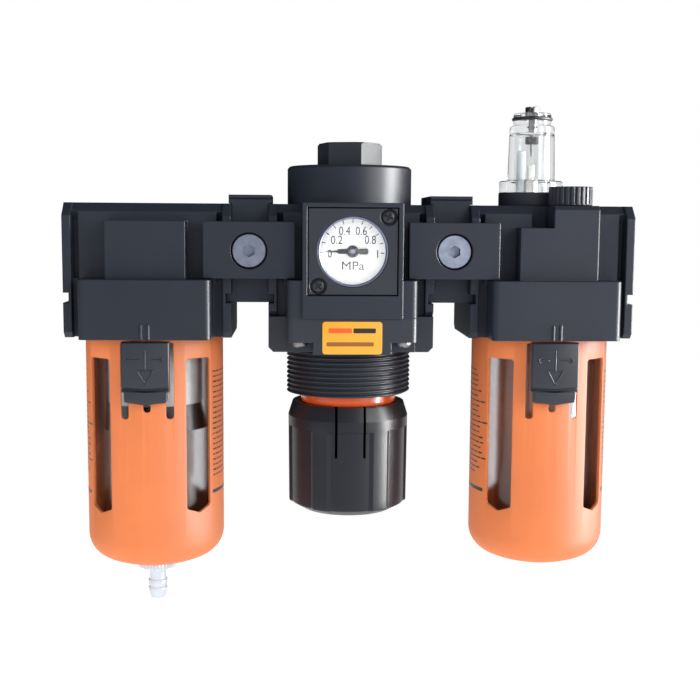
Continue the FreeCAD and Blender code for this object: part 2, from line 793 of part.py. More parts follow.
def gauge_pointer():
    upper = [(-10.8, 0.12), (-6.2, 0.35), (-5.6, 0.95), (-2.0, 1.0), (2.0, 0.6), (3.0, 1.15), (6.2, 1.15)]
    points = upper + [(x, -z) for x, z in reversed(upper)]
    needle = prism_y(points, -31.5, -31.1)
    return needle.fuse([rod_y(2.4, -32.1, -31.0), rod_y(0.55, -31.1, -27.0)]).removeSplitter()


def gauge_lens():
    return rod_y(window_r - 0.1, -34.4, -33.4)


def gauge_bezel():
    return rod_y(window_r - 0.05, -35.7, -34.4).cut(rod_y(13.2, -36, -34))


def label_plate():
    plate = box(-12.25, 12.25, -block_depth - 0.25, -block_depth, -41.9, -28.5)
    edges = [e for e in plate.Edges if abs(e.Vertexes[0].Y - e.Vertexes[1].Y) > 0.1]
    return plate.makeFillet(1.2, edges)


# ---- lubricator insides --------------------------------------------------------------

def siphon_tube():
    return tube(siphon_r, 1.0, siphon_end, 0.0, dome_x, siphon_y)


def siphon_strainer():
    floor = siphon_end - 2.5
    cup = tube(4.0, siphon_r, floor, siphon_end + 4.0, dome_x, siphon_y)
    return cup.fuse(rod(4.0, floor - 1.5, floor, dome_x, siphon_y)).removeSplitter()


def flow_damper():
    disc = rod_x(passage_r, 6.0, 6.8).cut(rod_x(1.6, 5, 8))
    slit = box(5, 8, -0.3, 0.3, 2.2, 7.0)
    for i in range(6):
        cut = slit.copy()
        cut.rotate(vec(0, 0, 0), vec(1, 0, 0), 60 * i)
        disc = disc.cut(cut)
    return disc


def sight_dome():
    steps = [(dome_bore, dome_seat_z + 3), (dome_seat_r, dome_seat_z + 3), (dome_seat_r, collar_top)]
    steps += [(dome_flange_r, collar_top), (dome_flange_r, dome_flange_top - 0.6)]
    steps += [(dome_flange_r - 0.6, dome_flange_top), (dome_foot_r, dome_flange_top)]
    steps += [(dome_head_r, dome_shoulder), (dome_neck_r, dome_shoulder + 0.8), (dome_neck_r, 56.2)]
    steps += [(7.35, 56.2), (7.35, 57.8), (dome_neck_r, 57.8), (dome_neck_r, dome_top)]
    steps += [(needle_r + 0.05, dome_top), (needle_r + 0.05, 51.0), (dome_bore - 1.5, 51.0)]
    steps += [(dome_bore, 49.5)]
    return turned(steps, dome_x, dome_y)


def sight_dome_oring():
    return ring(8.1, 0.75, 57.0, dome_x, dome_y)


def dome_collar():
    return tube(collar_r, dome_seat_r, body_top, collar_top, dome_x, dome_y)


def needle_valve():
    steps = [(0, needle_top), (needle_head_r - 0.4, needle_top), (needle_head_r, needle_top - 0.4)]
    steps += [(needle_head_r, dome_top + 0.1), (needle_r, dome_top + 0.1), (needle_r, 44.0), (0.3, 40.5), (0, 40.5)]
    needle = turned(steps, dome_x, dome_y)
    x, y = dome_x, dome_y
    return needle.cut(box(x - 4, x + 4, y - 0.4, y + 0.4, needle_top - 1.2, needle_top + 1))


def drip_nozzle():
    nozzle = tube(nozzle_r, 0.8, passage_r - 4, 37.0, dome_x, dome_y)
    return nozzle.fuse(tube(3.4, nozzle_r, dome_seat_z + 3, 30.0, dome_x, dome_y)).removeSplitter()


def filler_plug():
    plug = rod(plug_r, plug_bottom, plug_top, plug_x, plug_y)
    lip = Part.makeCone(plug_r + 3.0, plug_r - 0.8, 3.8, vec(plug_x, plug_y, plug_top - 3.8), vec(0, 0, 1))
    plug = plug.common(lip.fuse(rod(plug_r, plug_bottom, plug_top - 3.8, plug_x, plug_y)))
    flute = rod(0.75, plug_bottom + 0.6, plug_top + 1, plug_x + plug_r + 0.25, plug_y)
    for tool in around(flute, plug_flutes, 0, plug_x, plug_y):
        plug = plug.cut(tool)
    plug = plug.fuse(rod(plug_neck_r, 11.0, plug_bottom, plug_x, plug_y))
    groove = tube(plug_neck_r + 1, 5.0, 14.2, 15.8, plug_x, plug_y)
    return plug.cut(groove).removeSplitter()


def filler_plug_oring():
    return ring(5.75, 0.68, 15.0, plug_x, plug_y)


# ---- spacers and clamps ----------------------------------------------------------------

def spacer():
    half = spacer_gap / 2
    key = half + key_depth - 0.1
    core = box(-half, half, -spacer_depth, spacer_depth, ledge_top, tee_bottom)
    keys = box(-key, key, -spacer_depth, spacer_depth, key_bottom + 0.1, key_top - 0.1)
    tee = box(-tee_half, tee_half, -spacer_depth, spacer_depth, tee_bottom, tee_top)
    body = join([core, keys, tee])
    lip = box(-tee_half, tee_half, -spacer_depth - 1, -spacer_depth + 0.8, tee_bottom + 1.7, tee_bottom + 2.1)
    body = body.cut(lip).cut(rod_x(passage_r, -half - 1, half + 1))
    for side in (-1, 1):
        face = side * half
        x0, x1 = sorted((face - side * 2 * seal_section, face + side))
        groove = rod_x(seal_r + seal_section, x0, x1).cut(rod_x(seal_r - seal_section, x0, x1))
        body = body.cut(groove)
        body = body.cut(rod_y(bolt_r, min(side * 11, side * 20), max(side * 11, side * 20)))
    return body.removeSplitter()


def port_seals():
    """Each ring lies in its spacer's groove, against the next unit's face."""
    seals = []
    for middle in (filter_x + pitch / 2, regulator_x + pitch / 2):
        for side in (-1, 1):
            x = middle + side * (spacer_gap / 2 - seal_section)
            seals.append(Part.makeTorus(seal_r, seal_section, vec(x, 0, 0), vec(1, 0, 0)))
    return Part.makeCompound(seals)


def clamp_plate():
    plate = box(-plate_half, plate_half, -pad_depth, -plate_back, plate_bottom, plate_top)
    plate = plate.cut(rod_y(head_recess_r, -pad_depth - 1, -head_back))
    plate = plate.cut(rod_y(bolt_r, -pad_depth - 1, -plate_back + 1))
    inner = spacer_gap / 2 + flange_thick + hook_gap
    outer = spacer_gap / 2 + flange_thick + groove_width - hook_gap
    hook = box(inner, outer, -plate_back, -hook_tip, plate_bottom, plate_top - 0.4)
    return plate.fuse(both_sides(hook, vec(1, 0, 0))).removeSplitter()


def clamp_screw():
    head = rod_y(head_r, -head_front, -head_back)
    corner = hex_key / math.sqrt(3)
    angles = [math.radians(60 * i) for i in range(6)]
    points = [(corner * math.cos(a), corner * math.sin(a)) for a in angles]
    head = head.cut(prism_y(points, -head_front - 1, -head_front + 2.6))
    return head.fuse(rod_y(bolt_r, -head_back, -11.5)).removeSplitter()


def clamp_screws():
    screws = []
    for middle in (filter_x + pitch / 2, regulator_x + pitch / 2):
        for screw in both_sides(clamp_screw(), vec(0, 1, 0)):
            copy = screw.copy()
            copy.translate(vec(middle, 0, 0))
            screws.append(copy)
    return Part.makeCompound(screws)


def write_bowl_group(name, x, with_drain):
    save(name + "_bowl", bowl(with_drain), x)
    save(name + "_bowl_guard", bowl_guard(9.2 if with_drain else 4.0), x)
    save(name + "_bowl_oring", bowl_oring(), x)
    save(name + "_lock_button", lock_button(), x)
    save(name + "_lock_spring", lock_spring(), x)


def write_unit(x, makers):
    for maker in makers:
        save(maker.__name__, maker(), x)


os.makedirs("parts", exist_ok=True)
write_unit(filter_x, (filter_body, filter_deflector, filter_element, filter_baffle, filter_element_bolt,
                      drain_guide, drain_cock, drain_oring))
write_bowl_group("filter", filter_x, True)
write_unit(regulator_x, (regulator_body, valve_cap, valve_cap_oring, valve_stem, valve_spring, diaphragm,
                         diaphragm_plate, adjusting_spring, spring_seat, adjusting_screw, regulator_bonnet,
                         bonnet_screws, knob_lock_ring, pressure_knob, gauge_cover, gauge_cover_screws,
                         gauge_case, gauge_dial, gauge_pointer, gauge_lens, gauge_bezel, label_plate))
write_unit(lubricator_x, (lubricator_body, siphon_tube, siphon_strainer, flow_damper, sight_dome,
                          sight_dome_oring, dome_collar, needle_valve, drip_nozzle, filler_plug,
                          filler_plug_oring))
write_bowl_group("lubricator", lubricator_x, False)
for side, middle in (("left", filter_x + pitch / 2), ("right", regulator_x + pitch / 2)):
    save("spacer_" + side, spacer(), middle)
    save("clamp_plate_front_" + side, clamp_plate(), middle)
    save("clamp_plate_rear_" + side, clamp_plate().mirror(vec(0, 0, 0), vec(0, 1, 0)), middle)
save("clamp_screws", clamp_screws())
save("port_seals", port_seals())
print("sub-parts written:", len(os.listdir("parts")))
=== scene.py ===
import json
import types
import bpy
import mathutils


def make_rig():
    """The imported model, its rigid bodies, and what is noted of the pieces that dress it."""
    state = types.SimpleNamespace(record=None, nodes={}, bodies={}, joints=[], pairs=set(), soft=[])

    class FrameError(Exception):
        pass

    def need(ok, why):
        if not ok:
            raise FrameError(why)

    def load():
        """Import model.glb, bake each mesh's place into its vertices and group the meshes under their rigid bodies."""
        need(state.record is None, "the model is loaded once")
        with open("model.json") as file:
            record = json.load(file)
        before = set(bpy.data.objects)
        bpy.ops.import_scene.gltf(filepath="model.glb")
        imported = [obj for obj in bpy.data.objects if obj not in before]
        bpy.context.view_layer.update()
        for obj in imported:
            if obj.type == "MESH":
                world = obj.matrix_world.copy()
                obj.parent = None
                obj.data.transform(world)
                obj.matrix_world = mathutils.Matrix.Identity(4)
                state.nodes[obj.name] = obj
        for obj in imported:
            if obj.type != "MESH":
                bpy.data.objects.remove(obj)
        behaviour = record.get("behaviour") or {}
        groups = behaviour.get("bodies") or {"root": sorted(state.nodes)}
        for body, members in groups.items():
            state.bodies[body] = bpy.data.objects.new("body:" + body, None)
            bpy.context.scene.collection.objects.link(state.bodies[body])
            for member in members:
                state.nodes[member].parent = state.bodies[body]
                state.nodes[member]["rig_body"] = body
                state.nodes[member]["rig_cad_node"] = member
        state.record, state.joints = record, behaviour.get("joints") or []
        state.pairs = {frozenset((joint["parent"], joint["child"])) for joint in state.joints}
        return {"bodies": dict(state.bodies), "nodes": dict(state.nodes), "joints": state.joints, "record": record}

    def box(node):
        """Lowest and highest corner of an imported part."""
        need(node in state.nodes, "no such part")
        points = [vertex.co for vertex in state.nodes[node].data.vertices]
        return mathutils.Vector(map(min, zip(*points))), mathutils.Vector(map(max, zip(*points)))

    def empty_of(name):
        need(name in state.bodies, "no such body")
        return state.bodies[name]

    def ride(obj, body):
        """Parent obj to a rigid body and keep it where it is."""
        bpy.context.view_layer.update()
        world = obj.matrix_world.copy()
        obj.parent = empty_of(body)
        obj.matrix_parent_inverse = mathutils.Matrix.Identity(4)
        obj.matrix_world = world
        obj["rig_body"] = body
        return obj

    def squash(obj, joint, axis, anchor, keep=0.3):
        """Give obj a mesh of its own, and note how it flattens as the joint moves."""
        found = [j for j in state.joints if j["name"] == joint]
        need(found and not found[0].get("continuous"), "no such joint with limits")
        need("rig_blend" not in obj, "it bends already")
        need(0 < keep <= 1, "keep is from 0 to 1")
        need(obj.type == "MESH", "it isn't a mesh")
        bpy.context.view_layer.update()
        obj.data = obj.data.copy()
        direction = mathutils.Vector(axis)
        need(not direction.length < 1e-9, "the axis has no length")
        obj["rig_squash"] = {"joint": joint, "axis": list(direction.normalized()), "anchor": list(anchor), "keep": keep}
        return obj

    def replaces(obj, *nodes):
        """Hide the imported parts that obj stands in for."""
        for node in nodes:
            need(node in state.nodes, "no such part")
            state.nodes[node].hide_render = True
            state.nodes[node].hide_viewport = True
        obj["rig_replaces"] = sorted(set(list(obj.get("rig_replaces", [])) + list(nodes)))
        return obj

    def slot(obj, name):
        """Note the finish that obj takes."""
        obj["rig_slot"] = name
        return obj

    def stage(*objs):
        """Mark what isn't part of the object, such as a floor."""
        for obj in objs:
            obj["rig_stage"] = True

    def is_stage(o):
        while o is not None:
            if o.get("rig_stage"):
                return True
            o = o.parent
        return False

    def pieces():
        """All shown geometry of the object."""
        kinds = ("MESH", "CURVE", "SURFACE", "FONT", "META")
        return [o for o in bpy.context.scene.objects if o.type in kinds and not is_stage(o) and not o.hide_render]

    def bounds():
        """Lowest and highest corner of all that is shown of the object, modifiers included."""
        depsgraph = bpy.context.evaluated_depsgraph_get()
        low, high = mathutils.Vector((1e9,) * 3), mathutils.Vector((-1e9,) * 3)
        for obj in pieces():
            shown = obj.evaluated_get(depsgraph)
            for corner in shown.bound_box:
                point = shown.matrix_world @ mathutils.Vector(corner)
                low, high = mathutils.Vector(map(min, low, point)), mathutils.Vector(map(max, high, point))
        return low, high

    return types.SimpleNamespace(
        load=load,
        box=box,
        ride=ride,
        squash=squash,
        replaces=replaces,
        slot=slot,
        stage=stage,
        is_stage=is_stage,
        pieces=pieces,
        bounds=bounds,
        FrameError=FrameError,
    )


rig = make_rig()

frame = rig.load()
import json
import math
import random
import bpy
import bmesh
from mathutils import Matrix, Vector

cadLow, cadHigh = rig.bounds()
cadNodes = frame["nodes"]
used = set()                                    # CAD nodes that a new piece stands for
mm = 0.001
print("frame:", len(cadNodes), "nodes,", len(frame["joints"]), "joints")


def middle(node):
    low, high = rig.box(node)
    return (low + high) / 2


filterX = middle("filter_bowl_guard").x
regulatorX = middle("pressure_knob").x
lubricatorX = middle("lubricator_bowl_guard").x
spacerXs = {"left": middle("spacer_left").x, "right": middle("spacer_right").x}


# camera and lamps

camera = dict(at=(-23.0, -490.0, 11.0), turn=2.7, tilt=-6.4, roll=0.4, lens=57.6, shift=1.5 / 700)
camData = bpy.data.cameras.new("camera")
camData.lens = camera["lens"]
camData.sensor_width = 36.0
camData.shift_x = camera["shift"]
camObject = bpy.data.objects.new("camera", camData)
bpy.context.scene.collection.objects.link(camObject)
turn, tilt, roll = (math.radians(camera[k]) for k in ("turn", "tilt", "roll"))
camObject.matrix_world = (Matrix.Translation(Vector(camera["at"]) * mm + Vector((regulatorX, 0, 0)))
                          @ Matrix.Rotation(-turn, 4, "Z") @ Matrix.Rotation(math.pi / 2 + tilt, 4, "X")
                          @ Matrix.Rotation(roll, 4, "Z"))
bpy.context.scene.camera = camObject

lamps = dict(
    key=dict(at=(0.80, -0.75, 0.25), size=0.35, tall=0.60, power=5.0),
    front=dict(at=(-0.10, -1.10, 0.15), size=0.80, tall=0.50, power=2.5),
    strip=dict(at=(1.05, -0.16, 0.05), size=0.30, tall=0.90, power=56.0),
    fill=dict(at=(-0.90, -0.60, 0.10), size=0.80, tall=0.80, power=4.5),
)
lampAim = Vector((regulatorX, 0, -0.03))
for name, v in lamps.items():
    light = bpy.data.lights.new(name, "AREA")
    light.energy = v["power"]
    light.shape = "RECTANGLE"
    light.size = v["size"]
    light.size_y = v["tall"]
    lamp = bpy.data.objects.new(name, light)
    lamp.location = v["at"]
    lamp.visible_diffuse = name != "strip"      # the strip gives only a sheen
    lamp.visible_glossy = name in ("key", "strip")
    lamp.rotation_mode = "QUATERNION"
    lamp.rotation_quaternion = (lampAim - lamp.location).to_track_quat("-Z", "Y")
    bpy.context.scene.collection.objects.link(lamp)

# shading: one class turns sums into Math nodes, one adds nodes, one is a material

class Value:                                    # wraps one output so that plain sums build Math nodes
    def __init__(self, graph, socket):
        self.graph = graph
        self.socket = socket

    def sum(self, kind, a, b):
        return self.graph.sum(kind, a, b)

    def __add__(self, other):
        return self.sum("ADD", self, other)

    def __radd__(self, other):
        return self.sum("ADD", other, self)

    def __sub__(self, other):
        return self.sum("SUBTRACT", self, other)

    def __rsub__(self, other):
        return self.sum("SUBTRACT", other, self)

    def __mul__(self, other):
        return self.sum("MULTIPLY", self, other)

    def __rmul__(self, other):
        return self.sum("MULTIPLY", other, self)


class Graph:
    def __init__(self, tree):
        self.tree = tree

    def plug(self, value, socket):
        if isinstance(value, Value):
            self.tree.links.new(value.socket, socket)
        else:
            socket.default_value = value

    def add(self, kind, settings, sockets, out=0):
        node = self.tree.nodes.new(kind)
        for key, value in settings.items():
            setattr(node, key, value)
        for key, value in sockets.items():
            self.plug(value, node.inputs[key])
        return Value(self, node.outputs[out])

    def sum(self, kind, a, b):
        return self.add("ShaderNodeMath", dict(operation=kind), {0: a, 1: b})

    def ramp(self, value, start, end, low, high):
        sockets = {"Value": value, "From Min": start, "From Max": end, "To Min": low, "To Max": high}
        return self.add("ShaderNodeMapRange", dict(interpolation_type="SMOOTHSTEP"), sockets)


class Finish(Graph):                            # one material; fixed values go straight on the shader
    def __init__(self, name, colour, **fixed):
        self.material = bpy.data.materials.new(name)
        self.material.use_nodes = True
        super().__init__(self.material.node_tree)
        self.shader = self.tree.nodes["Principled BSDF"]
        self.put("Base Color", (*colour, 1))
        for key, value in fixed.items():
            self.put(key.replace("_", " "), value)
        self.place = self.add("ShaderNodeTexCoord", {}, {}, "Object")

    def put(self, name, value):
        self.plug(value, self.shader.inputs[name])

    def noise(self, size, detail):               # size is the width of a blotch in mm
        sockets = {"Vector": self.place, "Scale": 1 / (size * mm), "Detail": detail}
        return self.add("ShaderNodeTexNoise", {}, sockets)

    def blend(self, amount, first, second):
        sockets = {0: amount, 6: (*first, 1), 7: (*second, 1)}
        return self.add("ShaderNodeMix", dict(data_type="RGBA"), sockets, 2)

    def bump(self, height, depth, strength=1.0, edge=0):   # edge is how far corners look rounded, in mm
        sockets = {"Height": height, "Distance": depth * mm, "Strength": strength}
        if edge:
            sockets["Normal"] = self.add("ShaderNodeBevel", dict(samples=6), {"Radius": edge * mm})
        self.put("Normal", self.add("ShaderNodeBump", {}, sockets, "Normal"))


# the backdrop is white where it is looked at, and shaded where it only lights the object
studio = dict(backdrop=1.0, back=0.06, right=0.92, left=0.16, high=0.04, tint=(0.95, 0.98, 1.05, 1))
world = bpy.data.worlds.new("studio")
world.use_nodes = True
sky = Graph(world.node_tree)
ray = sky.add("ShaderNodeTexCoord", {}, {}, "Generated")
east, north, up = (sky.add("ShaderNodeSeparateXYZ", {}, {0: ray}, k) for k in range(3))
front = sky.ramp(north, 0.35, -0.9, studio["back"], 1.0)
side = sky.ramp(east, -0.45, 0.9, studio["left"], studio["right"])
high = sky.ramp(up, -0.2, 0.9, 0.0, studio["high"])
glow = sky.sum("MAXIMUM", front * side, high)
lit = sky.add("ShaderNodeBackground", {}, {"Color": studio["tint"], "Strength": glow})
plain = sky.add("ShaderNodeBackground", {}, {"Color": (1, 1, 1, 1), "Strength": studio["backdrop"]})
seen = sky.sum("MAXIMUM", sky.add("ShaderNodeLightPath", {}, {}, "Is Camera Ray"),
               sky.add("ShaderNodeLightPath", {}, {}, "Is Transmission Ray"))
mixed = sky.add("ShaderNodeMixShader", {}, {0: seen, 1: lit, 2: plain})
sky.plug(mixed, world.node_tree.nodes["World Output"].inputs["Surface"])
bpy.context.scene.world = world
bpy.context.scene.view_settings.view_transform = "Standard"


def shaded(colour, amount):
    return tuple(min(1.0, c * amount) for c in colour)


def paintFinish(name, colour, rough, grain, edge=0, **fixed):
    f = Finish(name, colour, **fixed)
    cloud = f.noise(30, 3)
    fine = f.noise(grain, 3)
    f.put("Base Color", f.blend(cloud, shaded(colour, 0.86), shaded(colour, 1.16)))
    f.put("Roughness", rough + 0.10 * fine + 0.08 * (cloud - 0.5))
    f.bump(fine + 0.5 * f.noise(grain * 4, 1), 0.03, 0.5, edge)
    return f


def metalFinish(name, colour, rough, **fixed):
    f = Finish(name, colour, Metallic=1.0, **fixed)
    cloud = f.noise(2.5, 4)
    fine = f.noise(0.25, 2)
    f.put("Base Color", f.blend(cloud, shaded(colour, 0.78), shaded(colour, 1.15)))
    f.put("Roughness", rough + 0.18 * cloud)
    f.bump(fine, 0.01, 0.4)
    return f


def clearFinish(name, colour, rough, haze):
    f = Finish(name, colour, Transmission_Weight=1.0, IOR=1.45)
    f.put("Roughness", rough + haze * f.noise(6, 3))
    f.bump(f.noise(9, 2), 0.02, 0.3)
    return f


finishes = dict(
    cast_black=paintFinish("castPaint", (0.018, 0.022, 0.033), 0.36, 0.45, 0.8, Specular_IOR_Level=0.30),
    moulded_black=paintFinish("mouldedBlack", (0.022, 0.025, 0.034), 0.34, 0.30, 0.5, Specular_IOR_Level=0.40),
    knob_black=paintFinish("knobPlastic", (0.013, 0.014, 0.019), 0.30, 0.25, Specular_IOR_Level=0.30),
    guard_paint=paintFinish("guardPaint", (0.75, 0.205, 0.066), 0.52, 0.6, Specular_IOR_Level=0.30),
    ring_orange=paintFinish("ringOrange", (0.80, 0.10, 0.015), 0.22, 0.5, Coat_Weight=0.3),
    seal_rubber=paintFinish("sealRubber", (0.018, 0.018, 0.018), 0.45, 0.2),
    element_white=paintFinish("sinteredWhite", (0.80, 0.80, 0.77), 0.75, 0.35),
    inner_plastic=paintFinish("innerPlastic", (0.035, 0.035, 0.037), 0.40, 0.4),
    drain_white=paintFinish("drainWhite", (0.60, 0.65, 0.71), 0.28, 0.5),
    # the dial glows faintly: painted light that brightens it where the lens and rim keep lamp light off it
    dial_white=paintFinish("dialWhite", (0.90, 0.91, 0.93), 0.45, 0.4, Emission_Color=(1, 1, 1, 1),
                           Emission_Strength=0.24),
    pointer_black=paintFinish("pointerBlack", (0.012, 0.012, 0.014), 0.35, 0.3),
    label_ink=paintFinish("labelInk", (0.28, 0.09, 0.01), 0.4, 0.3),
    label_yellow=paintFinish("labelYellow", (0.84, 0.36, 0.014), 0.38, 0.4, Coat_Weight=0.2),
    tube_clear=paintFinish("tubeNylon", (0.72, 0.76, 0.78), 0.25, 0.5),
    screw_black=paintFinish("screwBlack", (0.020, 0.022, 0.028), 0.30, 0.3, Specular_IOR_Level=0.5),
    screw_zinc=metalFinish("screwZinc", (0.33, 0.365, 0.46), 0.32),
    screw_steel=metalFinish("screwSteel", (0.25, 0.25, 0.26), 0.30),
    spring_steel=metalFinish("springSteel", (0.45, 0.45, 0.46), 0.25),
    inner_metal=metalFinish("innerMetal", (0.72, 0.70, 0.66), 0.25),
    gauge_metal=metalFinish("gaugeMetal", (0.24, 0.27, 0.38), 0.30),
    clear_bowl=clearFinish("bowlClear", (0.79, 0.78, 0.79), 0.10, 0.08),
    lens_clear=clearFinish("lensClear", (1.0, 1.0, 1.0), 0.0, 0.02),
    dome_clear=clearFinish("domeClear", (0.80, 0.815, 0.82), 0.01, 0.03),
)
print("materials:", len(finishes))

slotNames = {part["material_slot"] for part in frame["record"]["subparts"]}
for part in frame["record"]["subparts"]:
    node = cadNodes[part["node"]]
    node.data.materials.clear()
    node.data.materials.append(finishes[part["material_slot"]].material)


# shared modelling helpers

def smoothBelow(mesh, angle):                    # edges sharper than angle stay crisp
    mesh.shade_smooth()
    mesh.set_sharp_from_angle(angle=math.radians(angle))


def finishMesh(bm, name, body, slot, stands=(), sharp=32, flip=True):
    if flip:
        bmesh.ops.recalc_face_normals(bm, faces=bm.faces)
    mesh = bpy.data.meshes.new(name)
    bm.to_mesh(mesh)
    bm.free()
    stale = mesh.attributes.get("custom_normal")
    if stale:
        mesh.attributes.remove(stale)
    smoothBelow(mesh, sharp)
    piece = bpy.data.objects.new(name, mesh)
    bpy.context.scene.collection.objects.link(piece)
    mesh.materials.append(finishes[slot].material)
    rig.ride(piece, body)
    if slot in slotNames:
        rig.slot(piece, slot)
    if stands:
        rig.replaces(piece, *stands)
        used.update(stands)
    return piece


# Rounds every corner of an outline with an arc of at most that radius.
def softened(points, radius, steps=4, closed=True):
    result = []
    count = len(points)
    for i, point in enumerate(points):
        here = Vector(point[:2])
        size = point[2] if len(point) > 2 else radius
        ends = not closed and i in (0, count - 1)
        if size <= 0 or ends:
            result.append(here)
            continue
        before = (Vector(points[i - 1][:2]) - here)
        after = (Vector(points[(i + 1) % count][:2]) - here)
        half = before.angle(after) / 2
        if half > math.radians(88):
            result.append(here)
            continue
        reach = min(size / math.tan(half), before.length * 0.45, after.length * 0.45)
        size = reach * math.tan(half)
        centre = here + (before.normalized() + after.normalized()).normalized() * size / math.sin(half)
        first = here + before.normalized() * reach - centre
        last = here + after.normalized() * reach - centre
        sweep = first.angle_signed(last)
        for k in range(steps + 1):
            result.append(centre + Matrix.Rotation(-sweep * k / steps, 2) @ first)
    return result


def arc(centre, radius, start, end, steps):
    angles = [math.radians(start + (end - start) * i / steps) for i in range(steps + 1)]
    return [(centre[0] + radius * math.cos(a), centre[1] + radius * math.sin(a), 0) for a in angles]


# Spins an (r, z) outline in mm; the axis stands at x, y in metres.
def lathe(bm, profile, x, y, steps=96, closed=True):
    verts = [bm.verts.new((x + p[0] * mm, y, p[1] * mm)) for p in profile]
    pairs = list(zip(verts, verts[1:]))
    if closed:
        pairs.append((verts[-1], verts[0]))
    edges = [bm.edges.new(pair) for pair in pairs]
    bmesh.ops.spin(bm, geom=verts + edges, cent=(x, y, 0), axis=(0, 0, 1), dvec=(0, 0, 0),
                   angle=math.tau, steps=steps, use_merge=True, use_duplicate=False)
    bmesh.ops.remove_doubles(bm, verts=bm.verts, dist=2e-6)


def turnedPiece(name, body, slot, profile, x, y, steps, stands=()):
    bm = bmesh.new()
    lathe(bm, profile, x, y, steps)
    return finishMesh(bm, name, body, slot, stands)


# Pushes an (x, z) outline in mm along Y from y0 to y1; x in metres places it.
def slab(bm, outline, y0, y1, x):
    face = bm.faces.new([bm.verts.new((x + p[0] * mm, y0 * mm, p[1] * mm)) for p in outline])
    made = bmesh.ops.extrude_face_region(bm, geom=[face])
    moved = [v for v in made["geom"] if isinstance(v, bmesh.types.BMVert)]
    bmesh.ops.translate(bm, verts=moved, vec=(0, (y1 - y0) * mm, 0))


def block(bm, low, high):
    size = Vector(high) - Vector(low)
    place = Matrix.Translation((Vector(low) + Vector(high)) / 2 * mm) @ Matrix.Diagonal((*(size * mm), 1))
    bmesh.ops.create_cube(bm, size=1.0, matrix=place)


# A capped cylinder along Z, in mm, set in place by a matrix in metres.
def barrel(bm, radius, depth, place, sides):
    bmesh.ops.create_cone(bm, cap_ends=True, segments=sides, radius1=radius, radius2=radius, depth=depth,
                          matrix=place @ Matrix.Diagonal((mm, mm, mm, 1)))


def joinInto(bm, fresh):
    mesh = bpy.data.meshes.new("joined")
    fresh.to_mesh(mesh)
    fresh.free()
    bm.from_mesh(mesh)
    bpy.data.meshes.remove(mesh)


def bevelEdges(bm, width, segments, angle):
    edges = []
    for edge in bm.edges:
        if len(edge.link_faces) == 2 and edge.calc_face_angle(0) > math.radians(angle):
            edges.append(edge)
    bmesh.ops.bevel(bm, geom=edges, offset=width * mm, offset_type="OFFSET", affect="EDGES",
                    segments=segments, profile=0.5, material=-1, clamp_overlap=True)


# Subtracts a list of bmeshes from a piece and keeps the result as plain mesh.
def cutAway(piece, cutters):
    for bm in cutters:
        bmesh.ops.recalc_face_normals(bm, faces=bm.faces)
        mesh = bpy.data.meshes.new("cutter")
        bm.to_mesh(mesh)
        bm.free()
        cutter = bpy.data.objects.new("cutter", mesh)
        bpy.context.scene.collection.objects.link(cutter)
        change = piece.modifiers.new("cut", "BOOLEAN")
        change.operation = "DIFFERENCE"
        change.solver = "EXACT"
        change.object = cutter
        settle(piece)
        bpy.data.objects.remove(cutter)


# Applies a piece's modifiers.
def settle(piece):
    graph = bpy.context.evaluated_depsgraph_get()
    mesh = bpy.data.meshes.new_from_object(piece.evaluated_get(graph))
    old = piece.data
    piece.modifiers.clear()
    piece.data = mesh
    name = old.name
    bpy.data.meshes.remove(old)
    mesh.name = name


def roundOff(piece, width, segments, angle):
    change = piece.modifiers.new("round", "BEVEL")
    change.width = width * mm
    change.segments = segments
    change.limit_method = "ANGLE"
    change.angle_limit = math.radians(angle)
    change.use_clamp_overlap = False
    change.miter_outer = "MITER_ARC"
    settle(piece)
    smoothBelow(piece.data, 32)


# Takes a part's shape from its CAD node and joins its triangles, so that it can be shaded smoothly.
def castPiece(name, node, slot, trim=None):
    bm = bmesh.new()
    bm.from_mesh(cadNodes[node].data)
    bmesh.ops.remove_doubles(bm, verts=bm.verts, dist=1e-6)
    if trim:
        trim(bm)
    piece = finishMesh(bm, name, cadNodes[node]["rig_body"], slot, [node], flip=False)
    change = piece.modifiers.new("even", "WEIGHTED_NORMAL")
    change.keep_sharp = True
    settle(piece)
    return piece


# Winds a closed (r, z) section in mm round the axis at x, climbing one pitch a turn.
def helix(bm, section, x, pitch, turns, steps):
    face = bm.faces.new([bm.verts.new((x + r * mm, 0, z * mm)) for r, z in section])
    count = round(turns * steps)
    bmesh.ops.spin(bm, geom=[face], cent=(x, 0, 0), axis=(0, 0, 1), dvec=(0, 0, pitch * mm / steps),
                   angle=math.tau * count / steps, steps=count, use_merge=False, use_duplicate=False)


# Turns a bmesh made about Z at the origin to look forwards (or backwards) and moves it, in mm.
def frontTurn(bm, x, y, z, back=False):
    angle = -math.pi / 2 if back else math.pi / 2
    place = Matrix.Translation(Vector((x, y, z)) * mm) @ Matrix.Rotation(angle, 4, "X")
    bmesh.ops.transform(bm, matrix=place, verts=bm.verts)


# Ripples a round shape about the axis at x, outside the inner radius in mm.
def pressRibs(bm, x, inner, ribs, depth):
    for vert in bm.verts:
        out = Vector((vert.co.x - x, vert.co.y))
        if out.length > inner * mm:
            angle = math.atan2(out.y, out.x) * ribs
            out *= 1 - depth * mm * (1 - math.cos(angle)) / 2 / out.length
            vert.co.x = x + out.x
            vert.co.y = out.y


def around(bm, verts, angle, x):
    bmesh.ops.rotate(bm, verts=verts, cent=(x, 0, 0), matrix=Matrix.Rotation(math.radians(angle), 3, "Z"))


